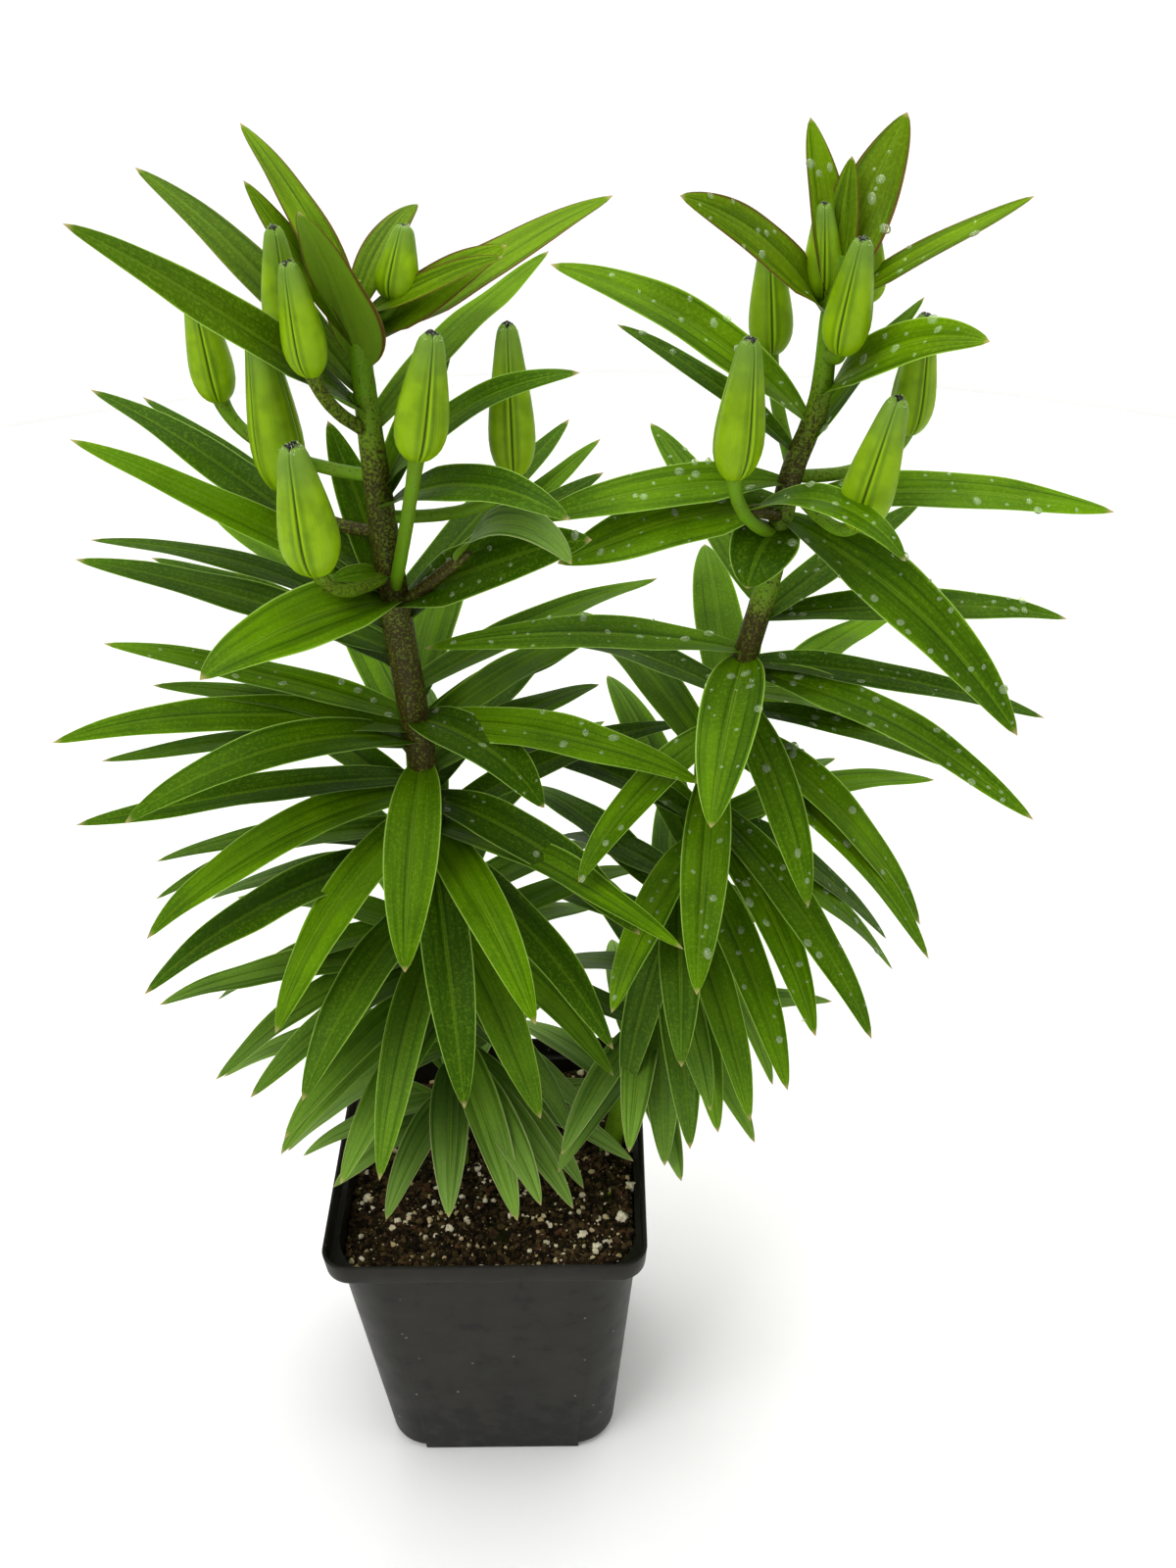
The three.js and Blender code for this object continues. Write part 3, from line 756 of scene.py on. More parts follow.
def spiral_leaves(start, end, spacing, turn):
    """Leaves of the spiral up a stem's far side, as the part has them."""
    rows = []
    i = 0
    while start + i * spacing < end:
        share = i * spacing / (end - start)
        azimuth = (turn + i * GOLDEN_ANGLE) % 360
        if FAR_SIDE[0] <= azimuth <= FAR_SIDE[1]:
            turned, raised, bent, longer = (SPIRAL_SWAY * draw(4 * i + k) for k in range(4))
            rows.append((
                start + i * spacing,
                azimuth + turned,
                mix(*SPIRAL_RISE, share) + raised,
                mix(*SPIRAL_DROOP, share) + bent,
                mix(*SPIRAL_LENGTH, min(1, share / SPIRAL_FULL_LENGTH_AT)) + longer,
                mix(*SPIRAL_WIDTH, share),
                0,
            ))
        i += 1
    return rows


def stalk_line(root, end, direction, sunk, end_share, dark):
    """The bent path of a stalk from inside its stem to inside what it carries, and its radius on the way."""
    below = end - direction * STALK_BEND * (end - root).length
    last = end + direction * sunk
    line = []
    for k in range(STALK_STEPS + 1):
        t = k / STALK_STEPS
        place = root * (1 - t) ** 2 + below * 2 * t * (1 - t) + last * t**2
        near_end = max(0, 1 - (1 - t) / STALK_END_WITHIN)
        radius = STALK_RADIUS * mix(1, end_share, near_end**2)
        line.append((place * MM, {"radius": radius * MM, "dark": dark}))
    return line


def stem_darkness(side, height):
    """How brown a stem is at a height, from the levels given for it."""
    levels = STEM_DARKNESS[side]
    for (low, start), (high, end) in zip(levels, levels[1:]):
        if height < high:
            return mix(start, end, max(0, (height - low) / (high - low)))
    return levels[-1][1]


# Geometry trees
def blade_tree():
    """Sweeps a blade's section along each midrib, cups it, and lets its margins wave."""
    tree, given = new_tree(
        "Blades along midribs",
        {
            "Section": "Object",
            "Wave share": "Float",
            "Wave length": "Float",
            "Finish": "Material",
        },
    )
    face = fact(tree, "face", VECTOR)
    half, lift, cup, flutter = (fact(tree, name) for name in ("half", "lift", "cup", "flutter"))
    midrib = add(tree, "GeometryNodeMeshToCurve", {}, {"Mesh": given["Geometry"]})
    midrib = add(tree, "GeometryNodeSetCurveNormal", {"mode": "FREE"}, {"Curve": midrib, "Normal": face})
    section = shape_of(tree, given["Section"])
    section = add(tree, "GeometryNodeMeshToCurve", {}, {"Mesh": section})
    swept = {"Curve": midrib, "Profile Curve": section, "Scale": half, "Fill Caps": True}
    blade = add(tree, "GeometryNodeCurveToMesh", {}, swept)
    density = worked(tree, QUOTIENT, 1.0, given["Wave length"])
    ripple = add(tree, "ShaderNodeTexNoise", {"noise_dimensions": "3D"}, {"Scale": density, "Detail": 0.0})
    ripple = worked(tree, LESS, ripple, 0.5)
    reach = worked(tree, PRODUCT, half, given["Wave share"])
    reach = worked(tree, PRODUCT, reach, flutter)
    cupped = worked(tree, PRODUCT, lift, cup)
    rise = worked(tree, PRODUCT_SUM, ripple, reach, cupped)
    offset = add(tree, "ShaderNodeVectorMath", SCALED, {"Vector": face, "Scale": rise})
    blade = add(tree, "GeometryNodeSetPosition", {}, {"Geometry": blade, "Offset": offset})
    return end_tree(tree, blade, given["Finish"])


def stem_tree():
    """Round stems along lines, a little uneven on their surface."""
    tree, given = new_tree(
        "Round stems along lines",
        {
            "Sides": "Int",
            "Bump height": "Float",
            "Bump length": "Float",
            "Finish": "Material",
        },
    )
    radius = fact(tree, "radius")
    line = add(tree, "GeometryNodeMeshToCurve", {}, {"Mesh": given["Geometry"]})
    circle = add(tree, "GeometryNodeCurvePrimitiveCircle", {}, {"Resolution": given["Sides"], "Radius": 1.0})
    swept = {"Curve": line, "Profile Curve": circle, "Scale": radius, "Fill Caps": True}
    stem = add(tree, "GeometryNodeCurveToMesh", {}, swept)
    density = worked(tree, QUOTIENT, 1.0, given["Bump length"])
    bump = add(tree, "ShaderNodeTexNoise", {}, {"Scale": density, "Detail": 1.0})
    bump = worked(tree, LESS, bump, 0.5)
    bump = worked(tree, PRODUCT, bump, given["Bump height"])
    outward = add(tree, "GeometryNodeInputNormal")
    offset = add(tree, "ShaderNodeVectorMath", SCALED, {"Vector": outward, "Scale": bump})
    stem = add(tree, "GeometryNodeSetPosition", {}, {"Geometry": stem, "Offset": offset})
    return end_tree(tree, stem, given["Finish"])


def bud_tree():
    """Stands a copy of the bud on each point, along its direction, at its length and girth."""
    tree, given = new_tree("Buds on stalks", {"Bud": "Object", "Finish": "Material"})
    direction = fact(tree, "direction", VECTOR)
    girth, length, turn = (fact(tree, name) for name in ("girth", "length", "turn"))
    upright = add(tree, "FunctionNodeAlignRotationToVector", {"axis": "Z"}, {"Vector": direction})
    spin = add(tree, "FunctionNodeAxisAngleToRotation", {}, {"Axis": UP, "Angle": turn})
    stance = add(tree, "FunctionNodeRotateRotation", LOCAL, {"Rotation": upright, "Rotate By": spin})
    size = add(tree, "ShaderNodeCombineXYZ", {}, {"X": girth, "Y": girth, "Z": length})
    bud = shape_of(tree, given["Bud"])
    stood = {"Points": given["Geometry"], "Instance": bud, "Rotation": stance, "Scale": size}
    buds = add(tree, "GeometryNodeInstanceOnPoints", {}, stood)
    return end_tree(tree, buds, given["Finish"])


def scatter_tree():
    """Scatters shapes over a surface where its cover attribute allows, each with a shade of its own."""
    tree, given = new_tree(
        "Shapes scattered on a surface",
        {
            "Shapes": "Collection",
            "Spacing": "Float",
            "Most per square metre": "Float",
            "Smallest": "Float",
            "Largest": "Float",
            "Tumble": "Float",
            "Seed": "Int",
            "Finish": "Material",
        },
    )
    cover = fact(tree, "cover")
    points = add(
        tree,
        "GeometryNodeDistributePointsOnFaces",
        {"distribute_method": "POISSON"},
        {
            "Mesh": given["Geometry"],
            "Distance Min": given["Spacing"],
            "Density Max": given["Most per square metre"],
            "Density Factor": cover,
            "Seed": given["Seed"],
        },
    )
    chance = add(tree, "FunctionNodeRandomValue", FLOAT, {"Seed": given["Seed"]})
    chance = worked(tree, {"operation": "POWER"}, chance, SMALL_OFTEN)
    limits = {"Value": chance, "To Min": given["Smallest"], "To Max": given["Largest"]}
    size = add(tree, "ShaderNodeMapRange", {}, limits)
    limits = {"Min": [-math.pi] * 3, "Max": [math.pi] * 3, "Seed": given["Seed"]}
    spin = add(tree, "FunctionNodeRandomValue", VECTOR, limits)
    tilt = add(tree, "ShaderNodeCombineXYZ", {}, {"X": given["Tumble"], "Y": given["Tumble"], "Z": 1.0})
    spin = add(tree, "ShaderNodeVectorMath", PRODUCT, {"Vector": spin, "Vector_001": tilt})
    upright = points.node.outputs["Rotation"]
    stance = add(tree, "FunctionNodeRotateRotation", LOCAL, {"Rotation": upright, "Rotate By": spin})
    picked = {"Collection": given["Shapes"], "Separate Children": True, "Reset Children": True}
    shapes = add(tree, "GeometryNodeCollectionInfo", {}, picked)
    stood = {"Points": points, "Instance": shapes, "Pick Instance": True, "Rotation": stance, "Scale": size}
    laid = add(tree, "GeometryNodeInstanceOnPoints", {}, stood)
    own_seed = worked(tree, SUM, given["Seed"], 1.0)
    shade = add(tree, "FunctionNodeRandomValue", FLOAT, {"Seed": own_seed})
    laid = add(
        tree,
        "GeometryNodeStoreNamedAttribute",
        {"data_type": "FLOAT", "domain": "INSTANCE"},
        {"Geometry": laid, "Name": "shade", "Value": shade},
    )
    return end_tree(tree, laid, given["Finish"])


# Materials
def new_material(name):
    """A named material with nothing in it yet, and its tree."""
    material = bpy.data.materials.new(name)
    material.use_nodes = True
    material.node_tree.nodes.clear()
    return material, material.node_tree


def finished(material, **inputs):
    """Gives a material its surface and output. A key's underscore stands for a space."""
    tree = material.node_tree
    named = {key.replace("_", " "): value for key, value in inputs.items()}
    surface = add(tree, "ShaderNodeBsdfPrincipled", {}, named)
    add(tree, "ShaderNodeOutputMaterial", {}, {"Surface": surface})
    return material


def read(tree, *names):
    """What a material reads at a point by name, and last the place on the object."""
    facts = [add(tree, "ShaderNodeAttribute", {"attribute_name": name}) for name in names]
    place = add(tree, "ShaderNodeTexCoord").node.outputs["Object"]
    return *(each.node.outputs["Fac"] for each in facts), place


def patterned(tree, place, size, detail, roughness=0.5):
    """A soft random pattern over places, of a size in millimetres."""
    pattern = {"Vector": place, "Scale": 1 / (size * MM), "Detail": detail, "Roughness": roughness}
    return add(tree, "ShaderNodeTexNoise", {}, pattern)


def bumped(tree, strength, distance, height):
    """The relief that a pattern gives a surface, over a distance in millimetres."""
    relief = {"Strength": strength, "Distance": distance * MM, "Height": height}
    return add(tree, "ShaderNodeBump", {}, relief)


def painted(tree, base, coats):
    """Lays colours over a base: each shows by a share where its value runs from one level to another."""
    for value, start, end, share, code in coats:
        levels = {"Value": value, "From Min": start, "From Max": end, "To Max": share}
        cover = add(tree, "ShaderNodeMapRange", SMOOTH, levels)
        code = colour(code) if isinstance(code, str) else code
        base = add(tree, "ShaderNodeMix", COLOURS, {"Factor_Float": cover, "A_Color": base, "B_Color": code})
    return base


def leaf_material():
    # Living lily leaf with a waxy cuticle: a soft sheen over parallel veins, a thin pale margin that is
    # brown on the young leaves, a paler underside, and greyer low leaves with dry pale tips. The left bract
    # is given the same paler, greyer colour as a painted sheen.
    material, tree = new_material("lily leaf with waxy cuticle")
    names = ("across", "along", "under", "tint", "age", "pale")
    across, along, under, tint, age, pale, place = read(tree, *names)
    patches = patterned(tree, place, 24, 2.0)
    grain = patterned(tree, place, 0.9, 3.0)
    side = worked(tree, {"operation": "ABSOLUTE"}, across)
    vein = worked(tree, PRODUCT, across, VEINS)
    vein = worked(tree, {"operation": "PINGPONG"}, vein, 0.5)
    # The veins waver and fade in and out, because each is read with soft streaks that run along the leaf.
    streaks = add(tree, "ShaderNodeCombineXYZ", {}, {"X": across, "Y": along, "Z": tint})
    streaks = add(tree, "ShaderNodeVectorMath", PRODUCT, {"Vector": streaks, "Vector_001": STREAK_SPREAD})
    pattern = {"Vector": streaks, "Scale": 1.0, "Detail": 3.0, "Roughness": 0.6}
    streaks = add(tree, "ShaderNodeTexNoise", {}, pattern)
    vein = worked(tree, PRODUCT_SUM, streaks, 0.35, vein)
    # A pale leaf is palest at its tip.
    paler = worked(tree, PRODUCT_SUM, along, 0.7, 0.4)
    pale = worked(tree, PRODUCT, pale, paler)
    margin = painted(tree, colour(LEAF_MARGIN), ((pale, 0.2, 0.7, 1, LEAF_MARGIN_LOW),))
    # Only the leaves round the buds have a brown edge, so there the side counts in full.
    young = add(tree, "ShaderNodeMapRange", SMOOTH, {"Value": age, "From Min": 0.8, "From Max": 0.92})
    browned = worked(tree, PRODUCT, side, young)
    base = painted(
        tree,
        colour(LEAF_FRESH),
        (
            (tint, 0.2, 0.9, 0.8, LEAF_DEEP),
            (patches, 0.35, 0.7, 0.5, LEAF_DEEP),
            (age, 0.8, 1, 0.4, LEAF_YOUNG),
            # Greyer low leaves, and on the left bract a painted sheen
            (pale, 0, 1, 0.85, LEAF_GREYED_AND_SHEEN),
            (grain, 0.45, 0.7, 0.2, LEAF_RIB),
            (streaks, 0.42, 0.68, 0.5, LEAF_DEEP),
            (vein, 0.58, 0.7, 0.5, LEAF_VEIN),
            (side, 0.1, 0.02, 0.3, LEAF_RIB),
            (side, 0.035, 0.01, 0.5, LEAF_VEIN),
            (under, 0.3, 0.7, 0.7, LEAF_UNDER),
            (side, 0.93, 0.985, 0.75, margin),
            (browned, 0.86, 0.94, 0.9, LEAF_MARGIN_YOUNG),
            (along, 0.965, 0.998, 0.8, LEAF_TIP),
        ),
    )
    roughness = add(tree, "ShaderNodeMapRange", SMOOTH, {"Value": grain, "To Min": 0.36, "To Max": 0.52})
    height = worked(tree, PRODUCT_SUM, vein, -1.2, grain)
    relief = bumped(tree, 0.45, 0.25, height)
    return finished(
        material,
        Base_Color=base,
        Roughness=roughness,
        Normal=relief,
        Specular_IOR_Level=0.08,
        Subsurface_Weight=0.1,
        Subsurface_Radius=(0.6, 1.0, 0.1),
        Subsurface_Scale=1.2 * MM,
    )


def bud_material():
    # Closed lily bud: three firm satin tepals, yellow-green and paler below, with fine ribs, painted shade
    # in the valleys beside each slit and in the slit itself, a painted highlight on the raised lips, and
    # greyer towards a small near-black tip.
    material, tree = new_material("closed lily bud tepals")
    away, along, tint, place = read(tree, "away", "along", "tint")
    patches = patterned(tree, place, 6, 2.0)
    grain = patterned(tree, place, 1.2, 2.0)
    near_tip = worked(tree, PRODUCT_SUM, grain, 0.05, along)
    base = painted(
        tree,
        colour(BUD_GREEN),
        (
            (patches, 0.35, 0.65, 0.6, BUD_PALE_AND_LIP_HIGHLIGHT),
            (along, 0.5, 0.05, 0.5, BUD_PALE_AND_LIP_HIGHLIGHT),
            (tint, 0, 1, 0.3, BUD_GREEN),
            # Painted shade in the valley, a painted highlight on the raised lip, and painted shade in the
            # slit
            (away, 27, 15, 0.4, BUD_VALLEY_SHADE),
            (away, 13, 6, 0.7, BUD_PALE_AND_LIP_HIGHLIGHT),
            (away, 5, 1, 0.8, BUD_SLIT_SHADE),
            (along, 0.55, 0.97, 0.75, BUD_TIP_GREYED),
            (near_tip, 1.005, 1.02, 1, BUD_TIP_DARK),
        ),
    )
    rib = worked(tree, PRODUCT, away, 0.9)
    rib = worked(tree, {"operation": "SINE"}, rib)
    relief = bumped(tree, 0.12, 0.1, rib)
    roughness = add(tree, "ShaderNodeMapRange", SMOOTH, {"Value": grain, "To Min": 0.36, "To Max": 0.5})
    return finished(
        material,
        Base_Color=base,
        Roughness=roughness,
        Normal=relief,
        Specular_IOR_Level=0.25,
        Subsurface_Weight=0.15,
        Subsurface_Radius=(0.8, 1.0, 0.1),
        Subsurface_Scale=2 * MM,
    )


def stem_material():
    # Lily stem: firm olive-green skin crowded with fine red-brown specks, which run together where the stem
    # is bare.
    material, tree = new_material("speckled lily stem skin")
    dark, place = read(tree, "dark")
    patches = patterned(tree, place, 9, 2.0)
    specks = patterned(tree, place, 0.8, 3.0, 0.7)
    crowded = worked(tree, PRODUCT_SUM, dark, 0.3, specks)
    crowded = worked(tree, PRODUCT_SUM, patches, 0.15, crowded)
    base = painted(
        tree,
        colour(STEM_GREEN),
        (
            (dark, 0.2, 0.8, 0.8, STEM_OLIVE),
            (patches, 0.3, 0.7, 0.4, STEM_OLIVE),
            (crowded, 0.68, 0.88, 0.9, STEM_BROWN),
        ),
    )
    relief = bumped(tree, 0.3, 0.15, specks)
    return finished(material, Base_Color=base, Roughness=0.5, Normal=relief, Specular_IOR_Level=0.25)


def pot_material():
    # Injection-moulded black polypropylene: satin, a little uneven, with dried stains low down and dust.
    material, tree = new_material("moulded black polypropylene")
    (place,) = read(tree)
    height = add(tree, "ShaderNodeSeparateXYZ", {}, {"Vector": place}).node.outputs["Z"]
    broad = patterned(tree, place, 30, 2.0)
    blots = patterned(tree, place, 9, 4.0, 0.6)
    fine = patterned(tree, place, 2.5, 2.0)
    levels = {"Value": height, "From Min": 50 * MM, "From Max": 10 * MM, "To Max": 0.2}
    low_down = add(tree, "ShaderNodeMapRange", SMOOTH, levels)
    stain = worked(tree, SUM, blots, low_down)
    specks = add(tree, "ShaderNodeTexVoronoi", {}, {"Vector": place, "Scale": 1 / (9 * MM)})
    specks = worked(tree, PRODUCT_SUM, fine, -0.12, specks)
    base = painted(
        tree,
        colour(POT_BLACK),
        (
            (broad, 0.35, 0.65, 0.4, POT_STAIN),
            (stain, 0.58, 0.68, 0.9, POT_STAIN),
            (specks, -0.005, -0.02, 0.8, POT_DUST),
        ),
    )
    relief = bumped(tree, 0.25, 0.1, fine)
    roughness = add(tree, "ShaderNodeMapRange", SMOOTH, {"Value": blots, "To Min": 0.34, "To Max": 0.5})
    return finished(material, Base_Color=base, Roughness=roughness, Normal=relief, Specular_IOR_Level=0.28)


def grain_material(name, dark, light, size, roughness):
    """A matt grain whose colour varies from one to the next and in patches of a size in millimetres."""
    material, tree = new_material(name)
    shade, place = read(tree, "shade")
    patches = patterned(tree, place, size, 3.0)
    base = painted(tree, colour(dark), ((shade, 0, 1, 1, light), (patches, 0.4, 0.7, 0.5, dark)))
    relief = bumped(tree, 0.6, 0.3, patches)
    return finished(material, Base_Color=base, Roughness=roughness, Normal=relief, Specular_IOR_Level=0.15)


def peat_material():
    # Milled peat: near-black brown and crumbly, with a few green tints, quite matt.
    material, tree = new_material("milled peat")
    (place,) = read(tree)
    crumbs = patterned(tree, place, 1.6, 4.0, 0.7)
    broad = patterned(tree, place, 11, 2.0)
    coats = ((crumbs, 0.45, 0.7, 0.9, PEAT_BROWN), (broad, 0.45, 0.7, 0.6, MOSS_DARK))
    base = painted(tree, colour(PEAT_DARK), coats)
    relief = bumped(tree, 0.9, 0.8, crumbs)
    return finished(material, Base_Color=base, Roughness=0.95, Normal=relief, Specular_IOR_Level=0.1)


def water_material():
    # Water: glossy and mostly clear, with a pale colour that paints each drop lighter than the leaf, as
    # painted light for its glint and bright rim, so a drop shows as a small bright lens.
    material, _ = new_material("water")
    clear = colour(WATER_PALE_PAINTED_GLINT)
    return finished(material, Base_Color=clear, Roughness=0.04, IOR=1.333, Transmission_Weight=0.8)


def plain_material(name, code, roughness):
    """A material with no pattern that would show: for the floor, for hairs and for one small bead."""
    material, _ = new_material(name)
    return finished(material, Base_Color=colour(code), Roughness=roughness)


# Pieces of the plant
def blade_section():
    """The closed section of a blade, with how much each point takes part in the cupping and the waves."""
    upper = [(-share, above, 0) for share, above, _ in reversed(BLADE_SECTION[1:])]
    upper += [(share, above, 0) for share, above, _ in BLADE_SECTION]
    lower = [(share, -below, 1) for share, _, below in reversed(BLADE_SECTION[:-1])]
    lower += [(-share, -below, 1) for share, _, below in BLADE_SECTION[1:-1]]
    ring = []
    for share, height, under in upper + lower:
        facts = {"across": share, "under": float(under), "cup": abs(share) ** 1.5, "flutter": share**2}
        ring.append((Vector((height, share, 0)), facts))
    return lines_object("blade_section", [ring], closed=True)


def bud_shape():
    """A bud of unit length and radius: three tepals that meet in slits between raised lips."""
    half = [*BUD_SECTION, *((120 - angle, share) for angle, share in reversed(BUD_SECTION[1:-1]))]
    around = [(third * 120 + angle, share) for third in range(3) for angle, share in half]
    rings = []
    facts = {"away": [], "along": []}
    for place, girth in BUD_PROFILE:
        ring = []
        for angle, share in around:
            away = min(angle % 120, 120 - angle % 120)
            near_tip = max(0, (place - BUD_TIP_FROM) / (1 - BUD_TIP_FROM))
            split = BUD_TIP_SPLIT * (1 - away / 60) ** 2 * near_tip
            turn = math.radians(angle)
            reach = girth * share
            ring.append(Vector((reach * math.cos(turn), reach * math.sin(turn), place - split)))
            facts["away"].append(away)
            facts["along"].append(place)
        rings.append(ring)
    mesh = lofted(rings)
    for name, values in facts.items():
        give_fact(mesh, name, values)
    return linked("bud_shape", mesh)


def shape_set(name, count, stretch, uneven, fineness):
    """A hidden set of small closed shapes that differ: stretched balls with an uneven surface."""
    shapes = bpy.data.collections.new(name)
    bpy.context.scene.collection.children.link(shapes)
    for index in range(count):
        ball = bmesh.new()
        bmesh.ops.create_icosphere(ball, subdivisions=fineness, radius=1)
        sizes = stretch[index % len(stretch)]
        offset = Vector((SHAPE_OFFSET[0] * index, *SHAPE_OFFSET[1:]))
        for vertex in ball.verts:
            swell = 1 + uneven * noise.noise(vertex.co * SHAPE_LUMPS + offset)
            vertex.co = Vector(part * size for part, size in zip(vertex.co * swell, sizes))
        mesh = finished_mesh(f"{name}_{index}", ball)
        shapes.objects.link(bpy.data.objects.new(mesh.name, mesh))
    return shapes


def dropped(shapes):
    """Removes helper objects, once the pieces made from them are plain meshes."""
    for helper in shapes:
        if isinstance(helper, bpy.types.Collection):
            for thing in list(helper.objects):
                bpy.data.objects.remove(thing)
            bpy.data.collections.remove(helper)
        else:
            bpy.data.objects.remove(helper)


def placed(thing, name, slot, *nodes):
    """Names a finished piece and lets it ride on the part, in the place of the nodes it stands for."""
    thing.name = name
    thing.data.name = name
    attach(thing, "root")
    if nodes:
        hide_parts(*nodes)


def covered(surface, cover_at):
    """Gives a surface its cover attribute from a function of a vertex and its index."""
    mesh = surface.data
    give_fact(mesh, "cover", [cover_at(vertex, index) for index, vertex in enumerate(mesh.vertices)])


def scattered(surface, shapes, settings, sharp_from=180):
    """A copy of a surface turned into the shapes that lie on it, without the surface's own facts."""
    layer = linked("scatter", surface.data.copy())
    layer = grown(layer, trees["scatter"], {"Shapes": shapes, **settings})
    for name in SURFACE_FACTS:
        if name in layer.data.attributes:
            layer.data.attributes.remove(layer.data.attributes[name])
    made_smooth(layer, sharp_from)
    return layer


def leaf_facts(height, seed, wet, pale):
    """What a leaf's look follows: its tint, its age by height, how pale it is (greyer when low, and on a
    bract a painted sheen), and whether it is wet.
    """
    low, high = LEAF_AGES
    age = min(1, max(0, (height - low) / (high - low)))
    return {
        "tint": (1 + draw(seed + TINT_SEED)) / 2,
        "age": age,
        "pale": max(pale, LOW_PALE * (1 - age / LOW_PALE_UNTIL)),
        "wet": float(wet),
    }


def plant(side, axis, leaves, spiral, buds, bracts, is_wet):
    """The leaves, buds and stems that stand for one leafy stem, and the drops on its leaves."""
    node = f"{side}_leafy_stem"
    seed = STEM_SEEDS[side]
    midribs = []
    for i, (height, *shape) in enumerate([*leaves, *spiral_leaves(**spiral)]):
        root, _ = stem_at(axis, height)
        own_seed = seed + LEAF_SEEDS * i
        wet = i < len(leaves) and is_wet(height)
        midribs.append(blade_line(root, *shape, own_seed, leaf_facts(height, own_seed, wet, 0)))
    steps = round((axis[-1][2] - axis[0][2]) / STEM_STEP)
    stems = [[]]
    for k in range(steps + 1):
        place, radius = stem_at(axis, mix(axis[0][2], axis[-1][2], k / steps))
        stems[0].append((place * MM, {"radius": radius * MM, "dark": stem_darkness(side, place.z)}))
    bud_points = []
    for i, (height, foot, tip, radius, turn, dark) in enumerate(buds):
        foot, tip = Vector(foot), Vector(tip)
        length = (tip - foot).length
        direction = (tip - foot).normalized()
        root, _ = stem_at(axis, height)
        stems.append(stalk_line(root, foot, direction, STALK_SUNK * length, BUD_STALK_END, dark))
        facts = {
            "direction": direction,
            "girth": radius * MM,
            "length": length * MM,
            "turn": math.radians(turn),
            "tint": (1 + draw(seed + BUD_SEEDS * i)) / 2,
        }
        bud_points.append([(foot * MM, facts)])
    for i, (height, end, *shape) in enumerate(bracts):
        end = Vector(end)
        root, _ = stem_at(axis, height)
        stems.append(stalk_line(root, end, (end - root).normalized(), 0, BRACT_STALK_END, 1.0))
        own_seed = seed + BRACT_SEEDS + i
        start = root.lerp(end, 1 - STALK_SUNK)
        facts = leaf_facts(height, own_seed, is_wet(height), BRACT_PAINTED_SHEEN[side])
        midribs.append(blade_line(start, *shape, own_seed, facts))

    blades = grown(
        lines_object("midribs", midribs),
        trees["blade"],
        {
            "Section": helpers["section"],
            "Wave share": WAVE_SHARE,
            "Wave length": WAVE_LENGTH * MM,
            "Finish": finishes["leaf"],
        },
    )
    made_smooth(blades, 50)
    wet_at = [entry.value for entry in blades.data.attributes["wet"].data]
    under_at = [entry.value for entry in blades.data.attributes["under"].data]

    def takes_drops(vertex, index):
        return float(wet_at[index] > 0.5 and under_at[index] < 0.5 and vertex.normal.z > DROP_UPWARD)

    covered(blades, takes_drops)
    drops = scattered(
        blades,
        helpers["drops"],
        {
            "Spacing": DROP_SPACING * MM,
            "Most per square metre": DROPS_PER_SQUARE_METRE,
            "Smallest": DROP_RADIUS[0] * MM,
            "Largest": DROP_RADIUS[1] * MM,
            "Tumble": 0.0,
            "Seed": seed,
            "Finish": finishes["water"],
        },
    )
    drops.visible_shadow = False
    placed(drops, f"{side}_water_drops", "lily_foliage")
    placed(blades, f"{side}_leaves", "lily_foliage", node)

    settings = {"Bud": helpers["bud"], "Finish": finishes["bud"]}
    flowers = grown(lines_object("bud_points", bud_points), trees["bud"], settings)
    made_smooth(flowers, 180)
    along_at = [entry.value for entry in flowers.data.attributes["along"].data]
    covered(flowers, lambda vertex, index: float(along_at[index] > WOOL_FROM))
    settings = {"Seed": WOOL_SEED, "Finish": finishes["wool"], **WOOL_HAIRS}
    wool = scattered(flowers, helpers["hairs"], settings)
    placed(wool, f"{side}_bud_wool", "lily_foliage")
    placed(flowers, f"{side}_buds", "lily_foliage", node)

    stalks = grown(
        lines_object("stems", stems),
        trees["stem"],
        {
            "Sides": STEM_SIDES,
            "Bump height": STEM_BUMP * MM,
            "Bump length": STEM_BUMP_LENGTH * MM,
            "Finish": finishes["stem"],
        },
    )
    made_smooth(stalks, 60)
    placed(stalks, f"{side}_stem_and_stalks", "lily_foliage", node)


# Pieces of the pot and the soil
def rounded_square(half, corner, z, corner_points, side_points=0):
    """A square outline with rounded corners at a height, with extra points along each straight side."""
    quarter = []
    straight = half - corner
    for k in range(corner_points):
        turn = math.radians(90 * k / (corner_points - 1))
        quarter.append((straight + corner * math.cos(turn), straight + corner * math.sin(turn)))
    for k in range(1, side_points + 1):
        quarter.append((mix(straight, -straight, k / (side_points + 1)), half))
    return [
        Matrix.Rotation(math.radians(90 * side), 3, "Z") @ Vector((x, y, z)) * MM
        for side in range(4)
        for x, y in quarter
    ]


def body_ring(z, inset, corner_points=POT_CORNER_POINTS, side_points=0):
    """The outline of the pot's body at a height, or of what follows it some way inside."""
    share = z / (POT_HEIGHT - RIM_BAND)
    half = mix(BODY_FOOT_HALF, BODY_TOP_HALF, share) - inset
    corner = mix(FOOT_CORNER, BODY_CORNER, share) - inset
    return rounded_square(half, corner, z, corner_points, side_points)


def corner_blocks(start, height):
    """Four upright blocks at the corners of the base, from a distance off its middle up to a height."""
    end = RIM_HALF + BEYOND
    blocks = bmesh.new()
    for x in (-1, 1):
        for y in (-1, 1):
            middle = Vector((x * (start + end), y * (start + end), height - BEYOND)) / 2 * MM
            size = Vector((end - start, end - start, height + BEYOND)) * MM
            place = Matrix.Translation(middle) @ Matrix.Diagonal(size).to_4x4()
            bmesh.ops.create_cube(blocks, size=1, matrix=place)
    mesh = finished_mesh("blocks", blocks)
    return linked("blocks", mesh)


